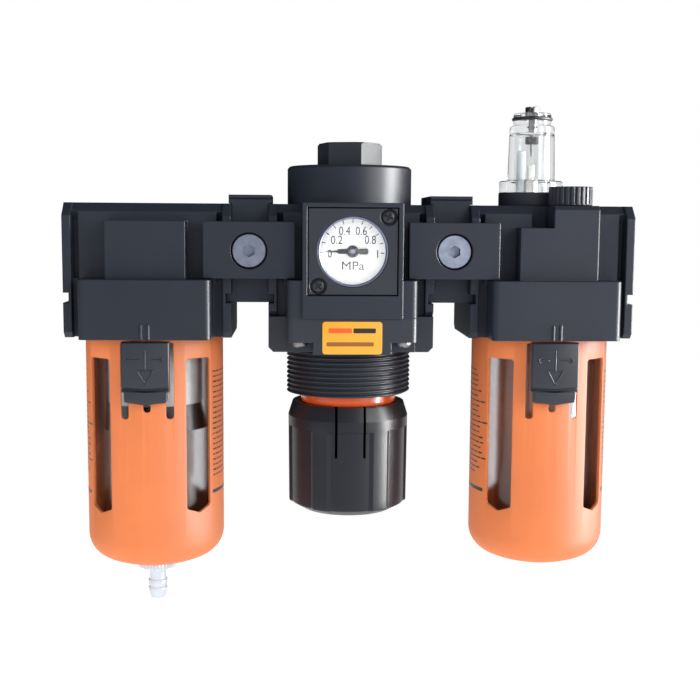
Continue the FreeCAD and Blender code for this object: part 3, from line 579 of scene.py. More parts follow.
# cast bodies, spacers and clamp plates
print("cast bodies")
castPiece("filterCasting", "filter_body", "cast_black")
castPiece("regulatorCasting", "regulator_body", "cast_black")
castPiece("lubricatorCasting", "lubricator_body", "cast_black")
for side in ("left", "right"):
    castPiece("spacer" + side.title(), "spacer_" + side, "cast_black")
    castPiece("frontPlate" + side.title(), "clamp_plate_front_" + side, "cast_black")
    castPiece("rearPlate" + side.title(), "clamp_plate_rear_" + side, "cast_black")
castPiece("hexPlug", "valve_cap", "moulded_black")


# bonnet and its panel thread

bonnet = dict(tube=27.0, crest=27.0, root=25.75, pitch=2.0, turns=10.6, foot=-61.5, blockBottom=-42.2,
              headroom=1.0)


def thinTube(bm):                                # makes room for the thread's ridges
    for v in bm.verts:
        flat = Vector((v.co.x - regulatorX, v.co.y))
        if v.co.z < (bonnet["blockBottom"] + 0.05) * mm and abs(flat.length / mm - bonnet["tube"]) < 0.2:
            flat *= bonnet["root"] * mm / flat.length
            v.co.x = regulatorX + flat.x
            v.co.y = flat.y


castPiece("bonnet", "regulator_bonnet", "moulded_black", thinTube)
bm = bmesh.new()
root, crest, pitch = bonnet["root"], bonnet["crest"], bonnet["pitch"]
ridge = [(root - 0.1, 0), (root, 0.12), (crest - 0.12, 0.72), (crest, 0.86), (crest, 1.14),
         (crest - 0.12, 1.28), (root, 1.88), (root - 0.1, pitch)]
helix(bm, [(r, z + bonnet["foot"] - pitch) for r, z in ridge], regulatorX, pitch, bonnet["turns"], 90)
for height, out in ((bonnet["foot"], -1), (bonnet["blockBottom"] + bonnet["headroom"], 1)):
    bmesh.ops.bisect_plane(bm, geom=bm.verts[:] + bm.edges[:] + bm.faces[:], plane_co=(0, 0, height * mm),
                           plane_no=(0, 0, out), clear_outer=True)
bmesh.ops.holes_fill(bm, edges=[e for e in bm.edges if e.is_boundary], sides=0)
finishMesh(bm, "panelThread", "unit_row", "moulded_black", sharp=25)


# port threads at both ends of the row

port = dict(wall=10.46, crest=9.75, pitch=1.814, turns=7.3, lead=0.8)
for name, node, direction in (("inletThread", "filter_body", 1), ("outletThread", "lubricator_body", -1)):
    low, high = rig.box(node)
    mouth = low.x if direction > 0 else high.x
    bm = bmesh.new()
    wall, crest = port["wall"], port["crest"]
    ridge = [(wall, 0.05), (crest, 0.75), (crest, 1.0), (wall, 1.75)]
    helix(bm, [(r, z + port["lead"]) for r, z in ridge], 0, port["pitch"], port["turns"], 48)
    place = Matrix.Translation((mouth, 0, 0)) @ Matrix.Rotation(direction * math.pi / 2, 4, "Y")
    bmesh.ops.transform(bm, matrix=place, verts=bm.verts)
    finishMesh(bm, name, "unit_row", "inner_metal", sharp=25)


# bowls and guards

guard = dict(radius=29.5, wall=1.5, top=-36.45, neckTop=-26.4, neckOut=26.2, neckIn=25.0, corner=11.0,
             sideEnd=-123.5, dome=70, flat=9.0, bottom=-136.85, edge=0.22, cutFrom=-34, cutTo=-20)
window = dict(width=12.8, top=-45.2, side=-109.0, tip=-111.4, corner=1.3, angles=(45, 135, 225, 315))
gap = dict(half=10.9, top=-38.0, bottom=-63.2, slitIn=7.7, slitBottom=-70.0, middleHalf=1.5,
           middleBottom=-67.0, corner=1.45)
bowl = dict(radius=24.8, wall=2.2, neck=24.0, top=-20.5, shoulder=-24.4, rim=26.2, rimFoot=-26.4, corner=15.0,
            sideEnd=-119.0, bossRadius=8.0, bossEnd=-137.6, bossBore=5.0)
marks = dict(rows=21, first=-52.0, step=2.25, height=0.62, barZ=-104.6, barHeight=1.5, starts=(61, 256),
             sweep=42, word=5.0, space=1.4, ragged=14)


# The outline from the side's foot round the corner and the shallow dome.
def guardSide(radius, corner, bottom):
    bend = arc((radius - corner, guard["sideEnd"]), corner, 0, -guard["dome"], 10)
    endR, endZ = bend[-1][:2]
    dome = []
    for i in range(1, 7):
        part = 1 - i / 6
        dome.append((guard["flat"] + (endR - guard["flat"]) * part, bottom + (endZ - bottom) * part ** 1.9, 0))
    return bend + dome


def guardPiece(name, prefix, x, hole):
    v = guard
    top, wall = v["top"], v["wall"]
    outside = guardSide(v["radius"], v["corner"], v["bottom"])
    inside = guardSide(v["radius"] - wall, v["corner"] - wall, v["bottom"] + wall)
    outline = [(v["neckIn"], v["neckTop"]), (v["neckOut"], v["neckTop"]), (v["neckOut"], top),
               (v["radius"], top, 0.7)] + outside + [(hole, v["bottom"]), (hole, v["bottom"] + wall)]
    outline += inside[::-1] + [(v["radius"] - wall, top - wall), (v["neckIn"], top - wall)]
    piece = turnedPiece(name, prefix + "_bowl_set", "guard_paint", softened(outline, 0.3, 2), x, 0, 128,
                        stands=[prefix + "_bowl_guard"])
    cutters = []
    half = window["width"] / 2
    shape = [(-half, window["top"]), (half, window["top"]), (half, window["side"]), (0, window["tip"]),
             (-half, window["side"])]
    for angle in window["angles"]:
        bm = bmesh.new()
        slab(bm, softened(shape, window["corner"]), v["cutFrom"], v["cutTo"], x)
        around(bm, bm.verts, angle, x)
        cutters.append(bm)
    g = gap
    left = [(-g["half"], g["top"], 0.8), (-g["half"], g["slitBottom"]), (-g["slitIn"], g["slitBottom"]),
            (-g["slitIn"], g["bottom"], 0.5), (-g["middleHalf"], g["bottom"], 0.5),
            (-g["middleHalf"], g["middleBottom"])]
    right = [(-p[0], *p[1:]) for p in left[::-1]]
    bm = bmesh.new()
    slab(bm, softened(left + right, g["corner"]), v["cutFrom"], v["cutTo"], x)
    cutters.append(bm)
    cutAway(piece, cutters)
    roundOff(piece, v["edge"], 2, 40)
    return piece


# A printed bar that follows the guard; the angle is measured from the front towards +X.
def curvedBar(bm, x, z, height, start, sweep):
    low, high = guard["radius"] - 0.02, guard["radius"] + 0.03
    a = math.radians(start)
    corners = ((low, z), (high, z), (high, z + height), (low, z + height))
    face = bm.faces.new([bm.verts.new((x + r * mm * math.sin(a), -r * mm * math.cos(a), h * mm))
                         for r, h in corners])
    bmesh.ops.spin(bm, geom=[face], cent=(x, 0, 0), axis=(0, 0, 1), dvec=(0, 0, 0), angle=math.radians(sweep),
                   steps=max(1, round(sweep / 2)), use_merge=False, use_duplicate=False)


# Rows of short dashes stand for the printed lines of words.
def printedMarks(name, prefix, x):
    chance = random.Random(7)
    bm = bmesh.new()
    for first in marks["starts"]:
        curvedBar(bm, x, marks["barZ"], marks["barHeight"], first, marks["sweep"])
        for row in range(marks["rows"]):
            at = first + 1
            end = first + marks["sweep"] - chance.uniform(0, marks["ragged"])
            while at < end:
                length = marks["word"] * chance.uniform(0.5, 1.5)
                curvedBar(bm, x, marks["first"] - marks["step"] * row, marks["height"], at, length)
                at += length + marks["space"]
    return finishMesh(bm, name, prefix + "_bowl_set", "pointer_black")


def bowlPiece(name, prefix, x, drained):
    v = bowl
    centre, end = v["radius"] - v["corner"], v["sideEnd"]
    floor = end - v["corner"]
    outside = [(v["neck"], v["top"]), (v["neck"], v["shoulder"]), (v["rim"], v["shoulder"]),
               (v["rim"], v["rimFoot"]), (v["radius"], v["rimFoot"])]
    outside += arc((centre, end), v["corner"], 0, -90, 12)
    inside = arc((centre, end), v["corner"] - v["wall"], -90, 0, 12) + [(v["radius"] - v["wall"], v["top"])]
    if drained:
        foot = [(v["bossRadius"], floor), (v["bossRadius"], v["bossEnd"]), (v["bossBore"], v["bossEnd"]),
                (v["bossBore"], floor + v["wall"])]
        outline = softened(outside + foot + inside, 0.5, 2)
        return turnedPiece(name, prefix + "_bowl_set", "clear_bowl", outline, x, 0, 96, [prefix + "_bowl"])
    outline = [(0, floor + v["wall"], 0)] + inside + outside + [(0, floor)]
    bm = bmesh.new()
    lathe(bm, softened(outline, 0.5, 2, closed=False), x, 0, 96, closed=False)
    return finishMesh(bm, name, prefix + "_bowl_set", "clear_bowl", [prefix + "_bowl"])


print("bowls and guards")
for prefix, x, hole in (("filter", filterX, 9.2), ("lubricator", lubricatorX, 4.0)):
    guardPiece(prefix + "Guard", prefix, x, hole)
    printedMarks(prefix + "Marks", prefix, x)
    bowlPiece(prefix + "Bowl", prefix, x, prefix == "filter")


# lock buttons

button = dict(half=9.75, tabHalf=8.75, top=-37.2, groove=-56.7, tabTop=-57.9, tip=1.3, bottom=-63.3,
              front=-34.0, back=-29.9, coreHalf=7.0, coreBack=-25.6, coreTop=-38.1, coreBottom=-59.0,
              edge=0.45, grooveDepth=0.8, mark=0.5, markRise=0.22, well=2.0, wellDepth=16, wellY=-29,
              wellZ=-58)
arrow = dict(centre=-44.5, arm=7.4, gapIn=2.6, stemTop=-40.6, stemEnd=-49.0, headHalf=3.2, headTip=-54.6)


# A thin bar from a to b on the front face, given as (x, z) in mm.
def stroke(bm, a, b, width, y0, y1, x):
    along = (Vector(b) - Vector(a)).normalized()
    side = Vector((-along.y, along.x)) * width / 2
    ends = [Vector(a) + side, Vector(a) - side, Vector(b) - side, Vector(b) + side]
    slab(bm, ends, y0, y1, x)


def lockButton(name, prefix, x):
    v = button
    outline = [(-v["half"], v["top"], 0.2), (v["half"], v["top"], 0.2), (v["half"], v["tabTop"], 0.3),
               (v["tabHalf"], v["tabTop"], 0.3), (v["tabHalf"], v["bottom"] + v["tip"]), (0, v["bottom"], 1.0),
               (-v["tabHalf"], v["bottom"] + v["tip"]), (-v["tabHalf"], v["tabTop"], 0.3),
               (-v["half"], v["tabTop"], 0.3)]
    bm = bmesh.new()
    slab(bm, softened(outline, 0.8, 3), v["front"], v["back"], x)
    core = [(x / mm - v["coreHalf"], v["back"] - 0.2, v["coreBottom"]),
            (x / mm + v["coreHalf"], v["coreBack"], v["coreTop"])]
    block(bm, *core)
    piece = finishMesh(bm, name, prefix + "_lock", "moulded_black", [prefix + "_lock_button"])
    bm = bmesh.new()
    reach, z, deep = v["half"] + 1, v["groove"], v["grooveDepth"]
    slab(bm, [(-reach, z + 0.9), (0, z + 0.1), (reach, z + 0.9), (reach, z), (0, z - 0.8), (-reach, z)],
         v["front"] - 1, v["front"] + deep, x)
    spring = bmesh.new()
    barrel(spring, v["well"], v["wellDepth"], Matrix.Translation((x, v["wellY"] * mm, v["wellZ"] * mm)), 32)
    cutAway(piece, [bm, spring])
    roundOff(piece, v["edge"], 3, 40)
    marks = bmesh.new()
    a, y0, y1, w = arrow, v["front"] - v["markRise"], v["front"] + 0.2, v["mark"]
    for sign in (-1, 1):
        stroke(marks, (sign * a["gapIn"], a["centre"]), (sign * a["arm"], a["centre"]), w, y0, y1, x)
        stroke(marks, (sign * a["headHalf"], a["stemEnd"]), (0, a["headTip"]), w, y0, y1, x)
        for rise in (-1, 1):
            stroke(marks, (sign * a["arm"], a["centre"]), (sign * (a["arm"] - 1.2), a["centre"] + rise * 1.1),
                   w, y0, y1, x)
    stroke(marks, (0, a["stemTop"]), (0, a["stemEnd"]), w, y0, y1, x)
    stroke(marks, (-a["headHalf"], a["stemEnd"]), (a["headHalf"], a["stemEnd"]), w, y0, y1, x)
    finishMesh(marks, name + "Arrows", prefix + "_lock", "moulded_black")


print("lock buttons")
for prefix, x in (("filter", filterX), ("lubricator", lubricatorX)):
    lockButton(prefix + "LockButton", prefix, x)


# pressure knob and its lock ring

knob = dict(rim=24.4, rimIn=21.15, top=-66.0, shoulder=-72.0, radius=26.3, collarEnd=-76.4, waist=25.3,
            waistTop=-76.8, waistFoot=25.0, sideEnd=-110.5, foot=20.0, bottom=-113.4, hubBore=6.2, hub=10.0,
            hubTop=-69.5, boreEnd=-87.0, inner=22.4, innerEnd=-108.0, steps=288,
            lands=6, landHalf=7.5, landEase=3.75, landRise=0.95, landIn=23, landFade=2.5, slitX=6.0,
            slitHalf=0.55, slitTop=-60, slitEnd=-87.6, slitDepths=((-30, -17), (17, 30)),
            rimDepth=-71.0, dish=14.0, dishIn=13.2, dishRise=1.0)
knobOutline = [(0, knob["boreEnd"], 0), (knob["hubBore"], knob["boreEnd"]), (knob["hubBore"], knob["hubTop"]),
               (knob["hub"], knob["hubTop"]), (knob["hub"], knob["innerEnd"]), (knob["inner"], knob["innerEnd"]),
               (knob["inner"], knob["rimDepth"]), (knob["rimIn"], knob["rimDepth"]),
               (knob["rimIn"], knob["top"]), (knob["rim"], knob["top"], 0.3),
               (knob["radius"], knob["shoulder"], 0.6),
               (knob["radius"], knob["collarEnd"], 0), (knob["waist"], knob["waistTop"], 0)]
for i in range(1, 9):                            # rings for the flutes to fade over
    part = i / 9
    knobOutline.append((knob["waist"] + (knob["waistFoot"] - knob["waist"]) * part,
                        knob["waistTop"] + (knob["sideEnd"] - knob["waistTop"]) * part, 0))
knobOutline += [(knob["waistFoot"], knob["sideEnd"], 0.8), (knob["foot"], knob["bottom"], 1.0),
                (knob["dish"], knob["bottom"]), (knob["dishIn"], knob["bottom"] + knob["dishRise"]),
                (0, knob["bottom"] + knob["dishRise"], 0)]
bm = bmesh.new()
lathe(bm, softened(knobOutline, 0.35, 3, closed=False), regulatorX, 0, knob["steps"], closed=False)
spacing = 360 / knob["lands"]
for v in bm.verts:
    out = Vector((v.co.x - regulatorX, v.co.y))
    z = v.co.z / mm
    if out.length > knob["landIn"] * mm and knob["bottom"] + 0.4 < z < knob["waistTop"] + 0.1:
        angle = math.degrees(math.atan2(out.x, -out.y))
        off = abs((angle % spacing) - spacing / 2)
        ease = min(1, max(0, (knob["landHalf"] + knob["landEase"] - off) / knob["landEase"]))
        fade = min(1, (z - knob["bottom"]) / knob["landFade"])
        rise = knob["landRise"] * ease * fade
        out *= 1 + rise * mm / out.length
        v.co.x = regulatorX + out.x
        v.co.y = out.y
piece = finishMesh(bm, "knob", "knob", "knob_black", ["pressure_knob"])
cutters = []
for slitX in (-knob["slitX"], knob["slitX"]):
    for near, far in knob["slitDepths"]:
        bm = bmesh.new()
        left, right = slitX - knob["slitHalf"], slitX + knob["slitHalf"]
        slab(bm, softened([(left, knob["slitTop"]), (right, knob["slitTop"]), (right, knob["slitEnd"]),
                           (left, knob["slitEnd"])], 0.5), near, far, regulatorX)
        cutters.append(bm)
cutAway(piece, cutters)
smoothBelow(piece.data, 20)
low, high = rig.box("knob_lock_ring")
ring = dict(outer=20.8, inner=17.5)
turnedPiece("lockRing", "unit_row", "ring_orange",
            softened([(ring["inner"], high.z / mm), (ring["outer"], high.z / mm),
                      (ring["outer"], low.z / mm, 0.6), (ring["inner"], low.z / mm)], 0.3, 3),
            regulatorX, 0, 96, stands=["knob_lock_ring"])
print("knob")


# filter element, baffle and drain cock
element = dict(outer=20.4, inner=9.0, top=-35.8, bottom=-66.0)
drain = dict(stem=3.45, stemTop=-128.3, collarTop=-138.2, collar=8.5, collarEnd=-140.9, hub=4.6,
             hubEnd=-142.4, neck=3.6, tip=-155.0, tipRadius=3.2, hole=1.5, holeEnd=-132.8, ribs=36, ribDepth=0.35,
             barbs=((3.6, -146.6), (4.2, -147.0), (4.2, -148.5), (3.6, -150.0), (4.1, -150.4), (4.1, -151.4)))
print("filter insides")
v = element
turnedPiece("element", "unit_row", "element_white",
            softened([(v["inner"], v["top"]), (v["outer"], v["top"]), (v["outer"], v["bottom"]),
                      (v["inner"], v["bottom"])], 0.6, 3), filterX, 0, 96, stands=["filter_element"])
castPiece("baffle", "filter_baffle", "inner_plastic")
v = drain
outline = [(0, v["stemTop"]), (v["stem"], v["stemTop"]), (v["stem"], v["collarTop"]),
           (v["collar"], v["collarTop"]), (v["collar"], v["collarEnd"], 0.7), (v["hub"], v["collarEnd"]),
           (v["hub"], v["hubEnd"], 0.5), (v["neck"], v["hubEnd"]), *v["barbs"],
           (v["tipRadius"], v["tip"], 0.3), (v["hole"], v["tip"], 0.3), (v["hole"], v["holeEnd"]),
           (0, v["holeEnd"])]
bm = bmesh.new()
lathe(bm, softened(outline, 0.25, 3, closed=False), filterX, 0, v["ribs"] * 4, closed=False)
pressRibs(bm, filterX, v["collar"] - 0.8, v["ribs"], v["ribDepth"])
finishMesh(bm, "drainCock", "drain", "drain_white", ["drain_cock"])


# gauge
gauge = dict(screws=((-14.0, -14.0), (14.5, 14.0)), screwRadius=2.75, screwFront=-35.3, screwBack=-33.7,
             crossLong=1.75, crossWide=0.32, crossDepth=1.1, crossTurns=(50, 25), dialRadius=13.8,
             dialHole=0.62, dialFront=-30.4, dialBack=-29.8,
             tickFrom=11.0, tickTo=12.6, tickWide=0.34, firstTick=181.7, lastTick=-3.0, ticks=11,
             bezelOut=14.35, bezelIn=13.2, bezelFront=-35.7, bezelBack=-34.4, lensRadius=14.3, lensFront=-34.4,
             lensBack=-33.4, ink=0.04)
dialWords = (("0", -8.9, -0.9, 1.7, 3.0), ("0.2", -6.2, 4.5, 4.5, 3.3), ("0.4", -3.1, 8.0, 4.4, 3.3),
             ("0.6", 3.4, 8.0, 4.4, 3.3), ("0.8", 7.0, 4.6, 4.4, 3.3), ("1", 9.9, -0.9, 0.5, 3.1),
             ("MPa", 0.3, -5.6, 8.8, 3.3))


# Makes flat lettering of a set width and height, in mm, centred at x, z on the plane y.
def lettering(bm, words, x, y, z, width, height):
    curve = bpy.data.curves.new("words", "FONT")
    curve.body = words
    carrier = bpy.data.objects.new("words", curve)
    bpy.context.scene.collection.objects.link(carrier)
    graph = bpy.context.evaluated_depsgraph_get()
    mesh = bpy.data.meshes.new_from_object(carrier.evaluated_get(graph))
    fresh = bmesh.new()
    fresh.from_mesh(mesh)
    lows = [min(v.co[k] for v in fresh.verts) for k in (0, 1)]
    highs = [max(v.co[k] for v in fresh.verts) for k in (0, 1)]
    for v in fresh.verts:
        across = (v.co.x - (lows[0] + highs[0]) / 2) * width / (highs[0] - lows[0])
        up = (v.co.y - (lows[1] + highs[1]) / 2) * height / (highs[1] - lows[1])
        v.co = (x + across * mm, y * mm, (z + up) * mm)
    made = bmesh.ops.extrude_face_region(fresh, geom=fresh.faces[:])
    moved = [v for v in made["geom"] if isinstance(v, bmesh.types.BMVert)]
    bmesh.ops.translate(fresh, verts=moved, vec=(0, -gauge["ink"] * mm, 0))
    joinInto(bm, fresh)
    bpy.data.objects.remove(carrier)
    bpy.data.curves.remove(curve)
    bpy.data.meshes.remove(mesh)


# Spins an (r, depth) outline in mm into a round piece that faces forwards at x, z.
def frontRound(name, body, slot, profile, x, z, steps=64, stands=()):
    bm = bmesh.new()
    lathe(bm, profile, 0, 0, steps)
    frontTurn(bm, x / mm, 0, z)
    return finishMesh(bm, name, body, slot, stands)


print("gauge")
g = gauge
castPiece("gaugePanel", "gauge_cover", "moulded_black")
bm = bmesh.new()
for sx, sz in g["screws"]:
    fresh = bmesh.new()
    depth = -g["screwBack"]
    front = -g["screwFront"]
    lathe(fresh, [(0, depth), (1.4, depth), (g["screwRadius"], depth), (g["screwRadius"], front - 0.7),
                  (g["screwRadius"] - 0.5, front - 0.2), (1.6, front), (0, front)], 0, 0, 40, closed=False)
    frontTurn(fresh, regulatorX / mm + sx, 0, sz)
    joinInto(bm, fresh)
piece = finishMesh(bm, "gaugeScrews", "unit_row", "screw_black", ["gauge_cover_screws"])
cutters = []
for sx, sz in g["screws"]:
    for wide, tall in ((g["crossLong"], g["crossWide"]), (g["crossWide"], g["crossLong"])):
        bm = bmesh.new()
        turn = Matrix.Rotation(math.radians(g["crossTurns"][sz > 0]), 3, "Y")
        block(bm, (-wide, g["screwFront"] - 1, -tall), (wide, g["screwFront"] + g["crossDepth"], tall))
        bmesh.ops.rotate(bm, verts=bm.verts, cent=(0, 0, 0), matrix=turn)
        bmesh.ops.translate(bm, verts=bm.verts, vec=(regulatorX + sx * mm, 0, sz * mm))
        cutters.append(bm)
cutAway(piece, cutters)
frontRound("dial", "unit_row", "dial_white",
           [(g["dialHole"], -g["dialBack"]), (g["dialRadius"], -g["dialBack"]),
            (g["dialRadius"], -g["dialFront"]), (g["dialHole"], -g["dialFront"])],
           regulatorX, 0, stands=["gauge_dial"])
bm = bmesh.new()
for words, x, z, width, height in dialWords:
    lettering(bm, words, regulatorX + x * mm, g["dialFront"], z, width, height)
for i in range(g["ticks"]):
    angle = math.radians(g["firstTick"] + (g["lastTick"] - g["firstTick"]) * i / (g["ticks"] - 1))
    ray = Vector((math.cos(angle), math.sin(angle)))
    stroke(bm, ray * g["tickFrom"], ray * g["tickTo"], g["tickWide"], g["dialFront"] - g["ink"],
           g["dialFront"], regulatorX)
finishMesh(bm, "dialPrint", "unit_row", "pointer_black")
pointer = dict(shape=((-10.8, 0.12), (-6.2, 0.35), (-5.6, 0.95), (-2.0, 1.0), (2.0, 0.6), (3.0, 1.15),
                      (6.2, 1.15)), front=-31.5, back=-31.1, hub=2.4, hubFront=-32.1, hubBack=-31.0,
               pin=1.1, cap=1.08, axle=0.55, axleBack=-28.0)
bm = bmesh.new()
lower = [(x, -z) for x, z in pointer["shape"][::-1]]
slab(bm, softened(list(pointer["shape"]) + lower, 0.5, 2), pointer["front"], pointer["back"], regulatorX)
fresh = bmesh.new()
v = pointer
lathe(fresh, softened([(v["pin"], -v["hubBack"]), (v["hub"], -v["hubBack"]), (v["hub"], -v["hubFront"]),
                       (v["pin"], -v["hubFront"])], 0.25, 3), 0, 0, 40)
frontTurn(fresh, regulatorX / mm, 0, 0)
joinInto(bm, fresh)
finishMesh(bm, "gaugePointer", "pointer", "pointer_black", ["gauge_pointer"])
bm = bmesh.new()
lathe(bm, [(0, -v["axleBack"]), (v["axle"], -v["axleBack"]), (v["axle"], -v["hubBack"]),
           (v["cap"], -v["hubBack"]), (v["cap"], 31.8), (0.7, 32.0), (0, 32.0)], 0, 0, 32, closed=False)
frontTurn(bm, regulatorX / mm, 0, 0)
finishMesh(bm, "pointerPin", "pointer", "gauge_metal")
frontRound("gaugeRim", "unit_row", "gauge_metal",
           softened([(g["bezelIn"], -g["bezelBack"]), (g["bezelOut"], -g["bezelBack"]),
                     (g["bezelOut"], -g["bezelFront"]), (g["bezelIn"] + 0.35, -g["bezelFront"])], 0.3, 3),
           regulatorX, 0, 96, stands=["gauge_bezel"])
bm = bmesh.new()
lathe(bm, softened([(0, -g["lensBack"], 0), (g["lensRadius"], -g["lensBack"]),
                    (g["lensRadius"], -g["lensFront"]), (0, -g["lensFront"], 0)], 0.15, 2, closed=False),
      0, 0, 96, closed=False)
frontTurn(bm, regulatorX / mm, 0, 0)
finishMesh(bm, "gaugeLens", "unit_row", "lens_clear", ["gauge_lens"])


# label with plain bars
label = dict(half=12.25, top=-28.5, bottom=-41.9, back=-35.0, front=-35.24, corner=1.2, ink=0.03,
             red=(-9.8, -0.2, -33.2, -31.2), dark=(0.4, 9.6, -33.2, -31.2), brown=(-10.6, 8.8, -38.6, -36.9))
print("label")
v = label
bm = bmesh.new()
slab(bm, softened([(-v["half"], v["bottom"]), (v["half"], v["bottom"]), (v["half"], v["top"]),
                   (-v["half"], v["top"])], v["corner"], 5), v["front"], v["back"], regulatorX)
bevelEdges(bm, 0.06, 2, 60)
finishMesh(bm, "label", "unit_row", "label_yellow", ["label_plate"])
for name, slot in (("red", "ring_orange"), ("dark", "pointer_black"), ("brown", "label_ink")):
    x0, x1, z0, z1 = v[name]
    bm = bmesh.new()
    bar = softened([(x0, z0), (x1, z0), (x1, z1), (x0, z1)], 0.35)
    slab(bm, bar, v["front"] - v["ink"], v["front"], regulatorX)
    finishMesh(bm, name + "Bar", "unit_row", slot)


# screws under the bonnet and in the clamp plates
pan = dict(x=21.5, y=28.0, radius=3.5, face=-37.2, end=-39.8, shank=2.0, shankTop=-20.0, cross=2.0,
           crossHalf=0.4, crossDepth=1.3)
socket = dict(radius=7.1, front=-29.6, back=-26.0, chamfer=0.5, shank=3.0, shankEnd=-11.5, key=4.6, depth=2.6,
              ribs=48, ribDepth=0.12)
print("screws")
v = pan
bm = bmesh.new()
places = [(sx * v["x"], sy * v["y"]) for sx in (-1, 1) for sy in (-1, 1)]
for px, py in places:
    lathe(bm, [(0, v["shankTop"]), (v["shank"], v["shankTop"]), (v["shank"], v["face"]),
               (v["radius"], v["face"]), (v["radius"], v["face"] - 1.0),
               (v["radius"] - 0.35, v["face"] - 1.7), (2.3, v["end"] + 0.25), (1.2, v["end"]),
               (0, v["end"])], regulatorX + px * mm, py * mm, 40, closed=False)
piece = finishMesh(bm, "bonnetScrews", "unit_row", "screw_steel", ["bonnet_screws"])
cutters = []
for px, py in places:
    for wide, deep in ((v["cross"], v["crossHalf"]), (v["crossHalf"], v["cross"])):
        bm = bmesh.new()
        place = Vector((regulatorX / mm + px, py, 0))
        block(bm, place + Vector((-wide, -deep, v["end"] - 1)),
              place + Vector((wide, deep, v["end"] + v["crossDepth"])))
        cutters.append(bm)
cutAway(piece, cutters)
v = socket
bm = bmesh.new()
cutters = []
for x in spacerXs.values():
    for back in (False, True):
        fresh = bmesh.new()
        lathe(fresh, [(0, -v["shankEnd"]), (v["shank"], -v["shankEnd"]), (v["shank"], -v["back"]),
                      (v["radius"], -v["back"]), (v["radius"], -v["front"] - v["chamfer"]),
                      (v["radius"] - v["chamfer"] * 0.6, -v["front"] - 0.2),
                      (v["radius"] - v["chamfer"], -v["front"]), (0, -v["front"])],
              0, 0, v["ribs"] * 2, closed=False)
        pressRibs(fresh, 0, v["radius"] - 0.05, v["ribs"], v["ribDepth"])
        frontTurn(fresh, x / mm, 0, 0, back)
        joinInto(bm, fresh)
        key = bmesh.new()
        corner = v["key"] / math.sqrt(3)
        barrel(key, corner, v["depth"] * 2, Matrix.Translation((0, 0, -v["front"] * mm)), 6)
        frontTurn(key, x / mm, 0, 0, back)
        cutters.append(key)
piece = finishMesh(bm, "clampScrews", "unit_row", "screw_zinc", ["clamp_screws"])
cutAway(piece, cutters)


# sight dome, needle, filler plug and siphon
dome = dict(x=-4.6, y=3.0, collar=14.0, collarIn=10.4, collarFoot=19.3, collarTop=25.2, flange=13.8,
            flangeTop=30.3, foot=10.25, head=9.7, shoulder=53.9, neck=8.15, top=59.5, seat=10.4, seatFoot=16.0, bore=7.4,
            ringGroove=7.35, grooveFoot=56.2, grooveTop=57.8, ring=0.75, ringRadius=8.1, ringZ=57.0,
            ceiling=51.0, headSeat=57.9)
needle = dict(radius=1.5, thin=0.825, thinFoot=44.0, thinTop=49.5, step=50.5, head=3.15, headFoot=58.0,
              top=62.3, foot=40.5, slotHalf=0.4, slotDepth=1.2, slotReach=4, slotTurn=70)
drip = dict(nozzle=1.6, bore=0.8, foot=4.0, top=37.0, sleeve=3.4, sleeveFoot=16.0, sleeveTop=30.0,
            guide=2.9, guideBore=1.0, guideFoot=46.0, guideTop=49.2, pipeX=-4.5, pipe=2.0, pipeBore=1.3,
            pipeFoot=16.5, pipeTop=43.0)
plug = dict(x=8.1, y=-18.0, radius=9.2, foot=19.5, top=27.3, flutes=24, fluteDepth=0.75, fluteFoot=20.3,
            fluteTop=26.6, neck=6.4, neckFoot=11.0, groove=5.0, grooveFoot=14.1, grooveTop=15.9)
siphon = dict(y=11.5, radius=1.8, bore=1.0, top=0.0, end=-125.0, cup=4.0, cupTop=-121.0, cupFloor=-127.5,
              cupEnd=-129.0)
print("sight dome and filler plug")
domeX = lubricatorX + dome["x"] * mm
domeY = dome["y"] * mm
v = dome
turnedPiece("domeCollar", "unit_row", "moulded_black",
            softened([(v["collarIn"], v["collarFoot"]), (v["collar"], v["collarFoot"]),
                      (v["collar"], v["collarTop"]), (v["collarIn"], v["collarTop"])], 0.4, 3),
            domeX, domeY, 96, stands=["dome_collar"])
outline = [(v["bore"], v["seatFoot"]), (v["seat"], v["seatFoot"]), (v["seat"], v["collarTop"]),
           (v["flange"], v["collarTop"]), (v["flange"], v["flangeTop"], 0.8), (v["foot"], v["flangeTop"], 0.6),
           (v["head"], v["shoulder"] - 0.3, 0.7), (v["neck"], v["shoulder"] + 0.6, 0.3),
           (v["neck"], v["grooveFoot"], 0.1), (v["ringGroove"], v["grooveFoot"], 0.1),
           (v["ringGroove"], v["grooveTop"], 0.1), (v["neck"], v["grooveTop"], 0.1),
           (v["neck"], v["top"], 0.6), (needle["head"] + 0.05, v["top"]),
           (needle["head"] + 0.05, v["headSeat"]), (needle["radius"] + 0.1, v["headSeat"]),
           (needle["radius"] + 0.1, v["ceiling"]), (v["bore"] - 1.5, v["ceiling"], 1.2),
           (v["bore"], v["ceiling"] - 1.5, 1.2)]
turnedPiece("sightDome", "unit_row", "dome_clear", softened(outline, 0.25, 3), domeX, domeY, 96,
            stands=["sight_dome"])
turnedPiece("domeRing", "unit_row", "seal_rubber",
            arc((v["ringRadius"], v["ringZ"]), v["ring"], 0, 337.5, 15), domeX, domeY, 96,
            stands=["sight_dome_oring"])
v = needle
bm = bmesh.new()
lathe(bm, softened([(0, v["foot"], 0), (0.3, v["foot"]), (v["thin"], v["thinFoot"]), (v["thin"], v["thinTop"]),
                    (v["radius"], v["step"]), (v["radius"], v["headFoot"]), (v["head"], v["headFoot"]),
                    (v["head"], v["top"], 0.5), (0, v["top"], 0)], 0.15, 3, closed=False),
      domeX, domeY, 48, closed=False)
piece = finishMesh(bm, "needle", "needle", "screw_steel", ["needle_valve"])
bm = bmesh.new()
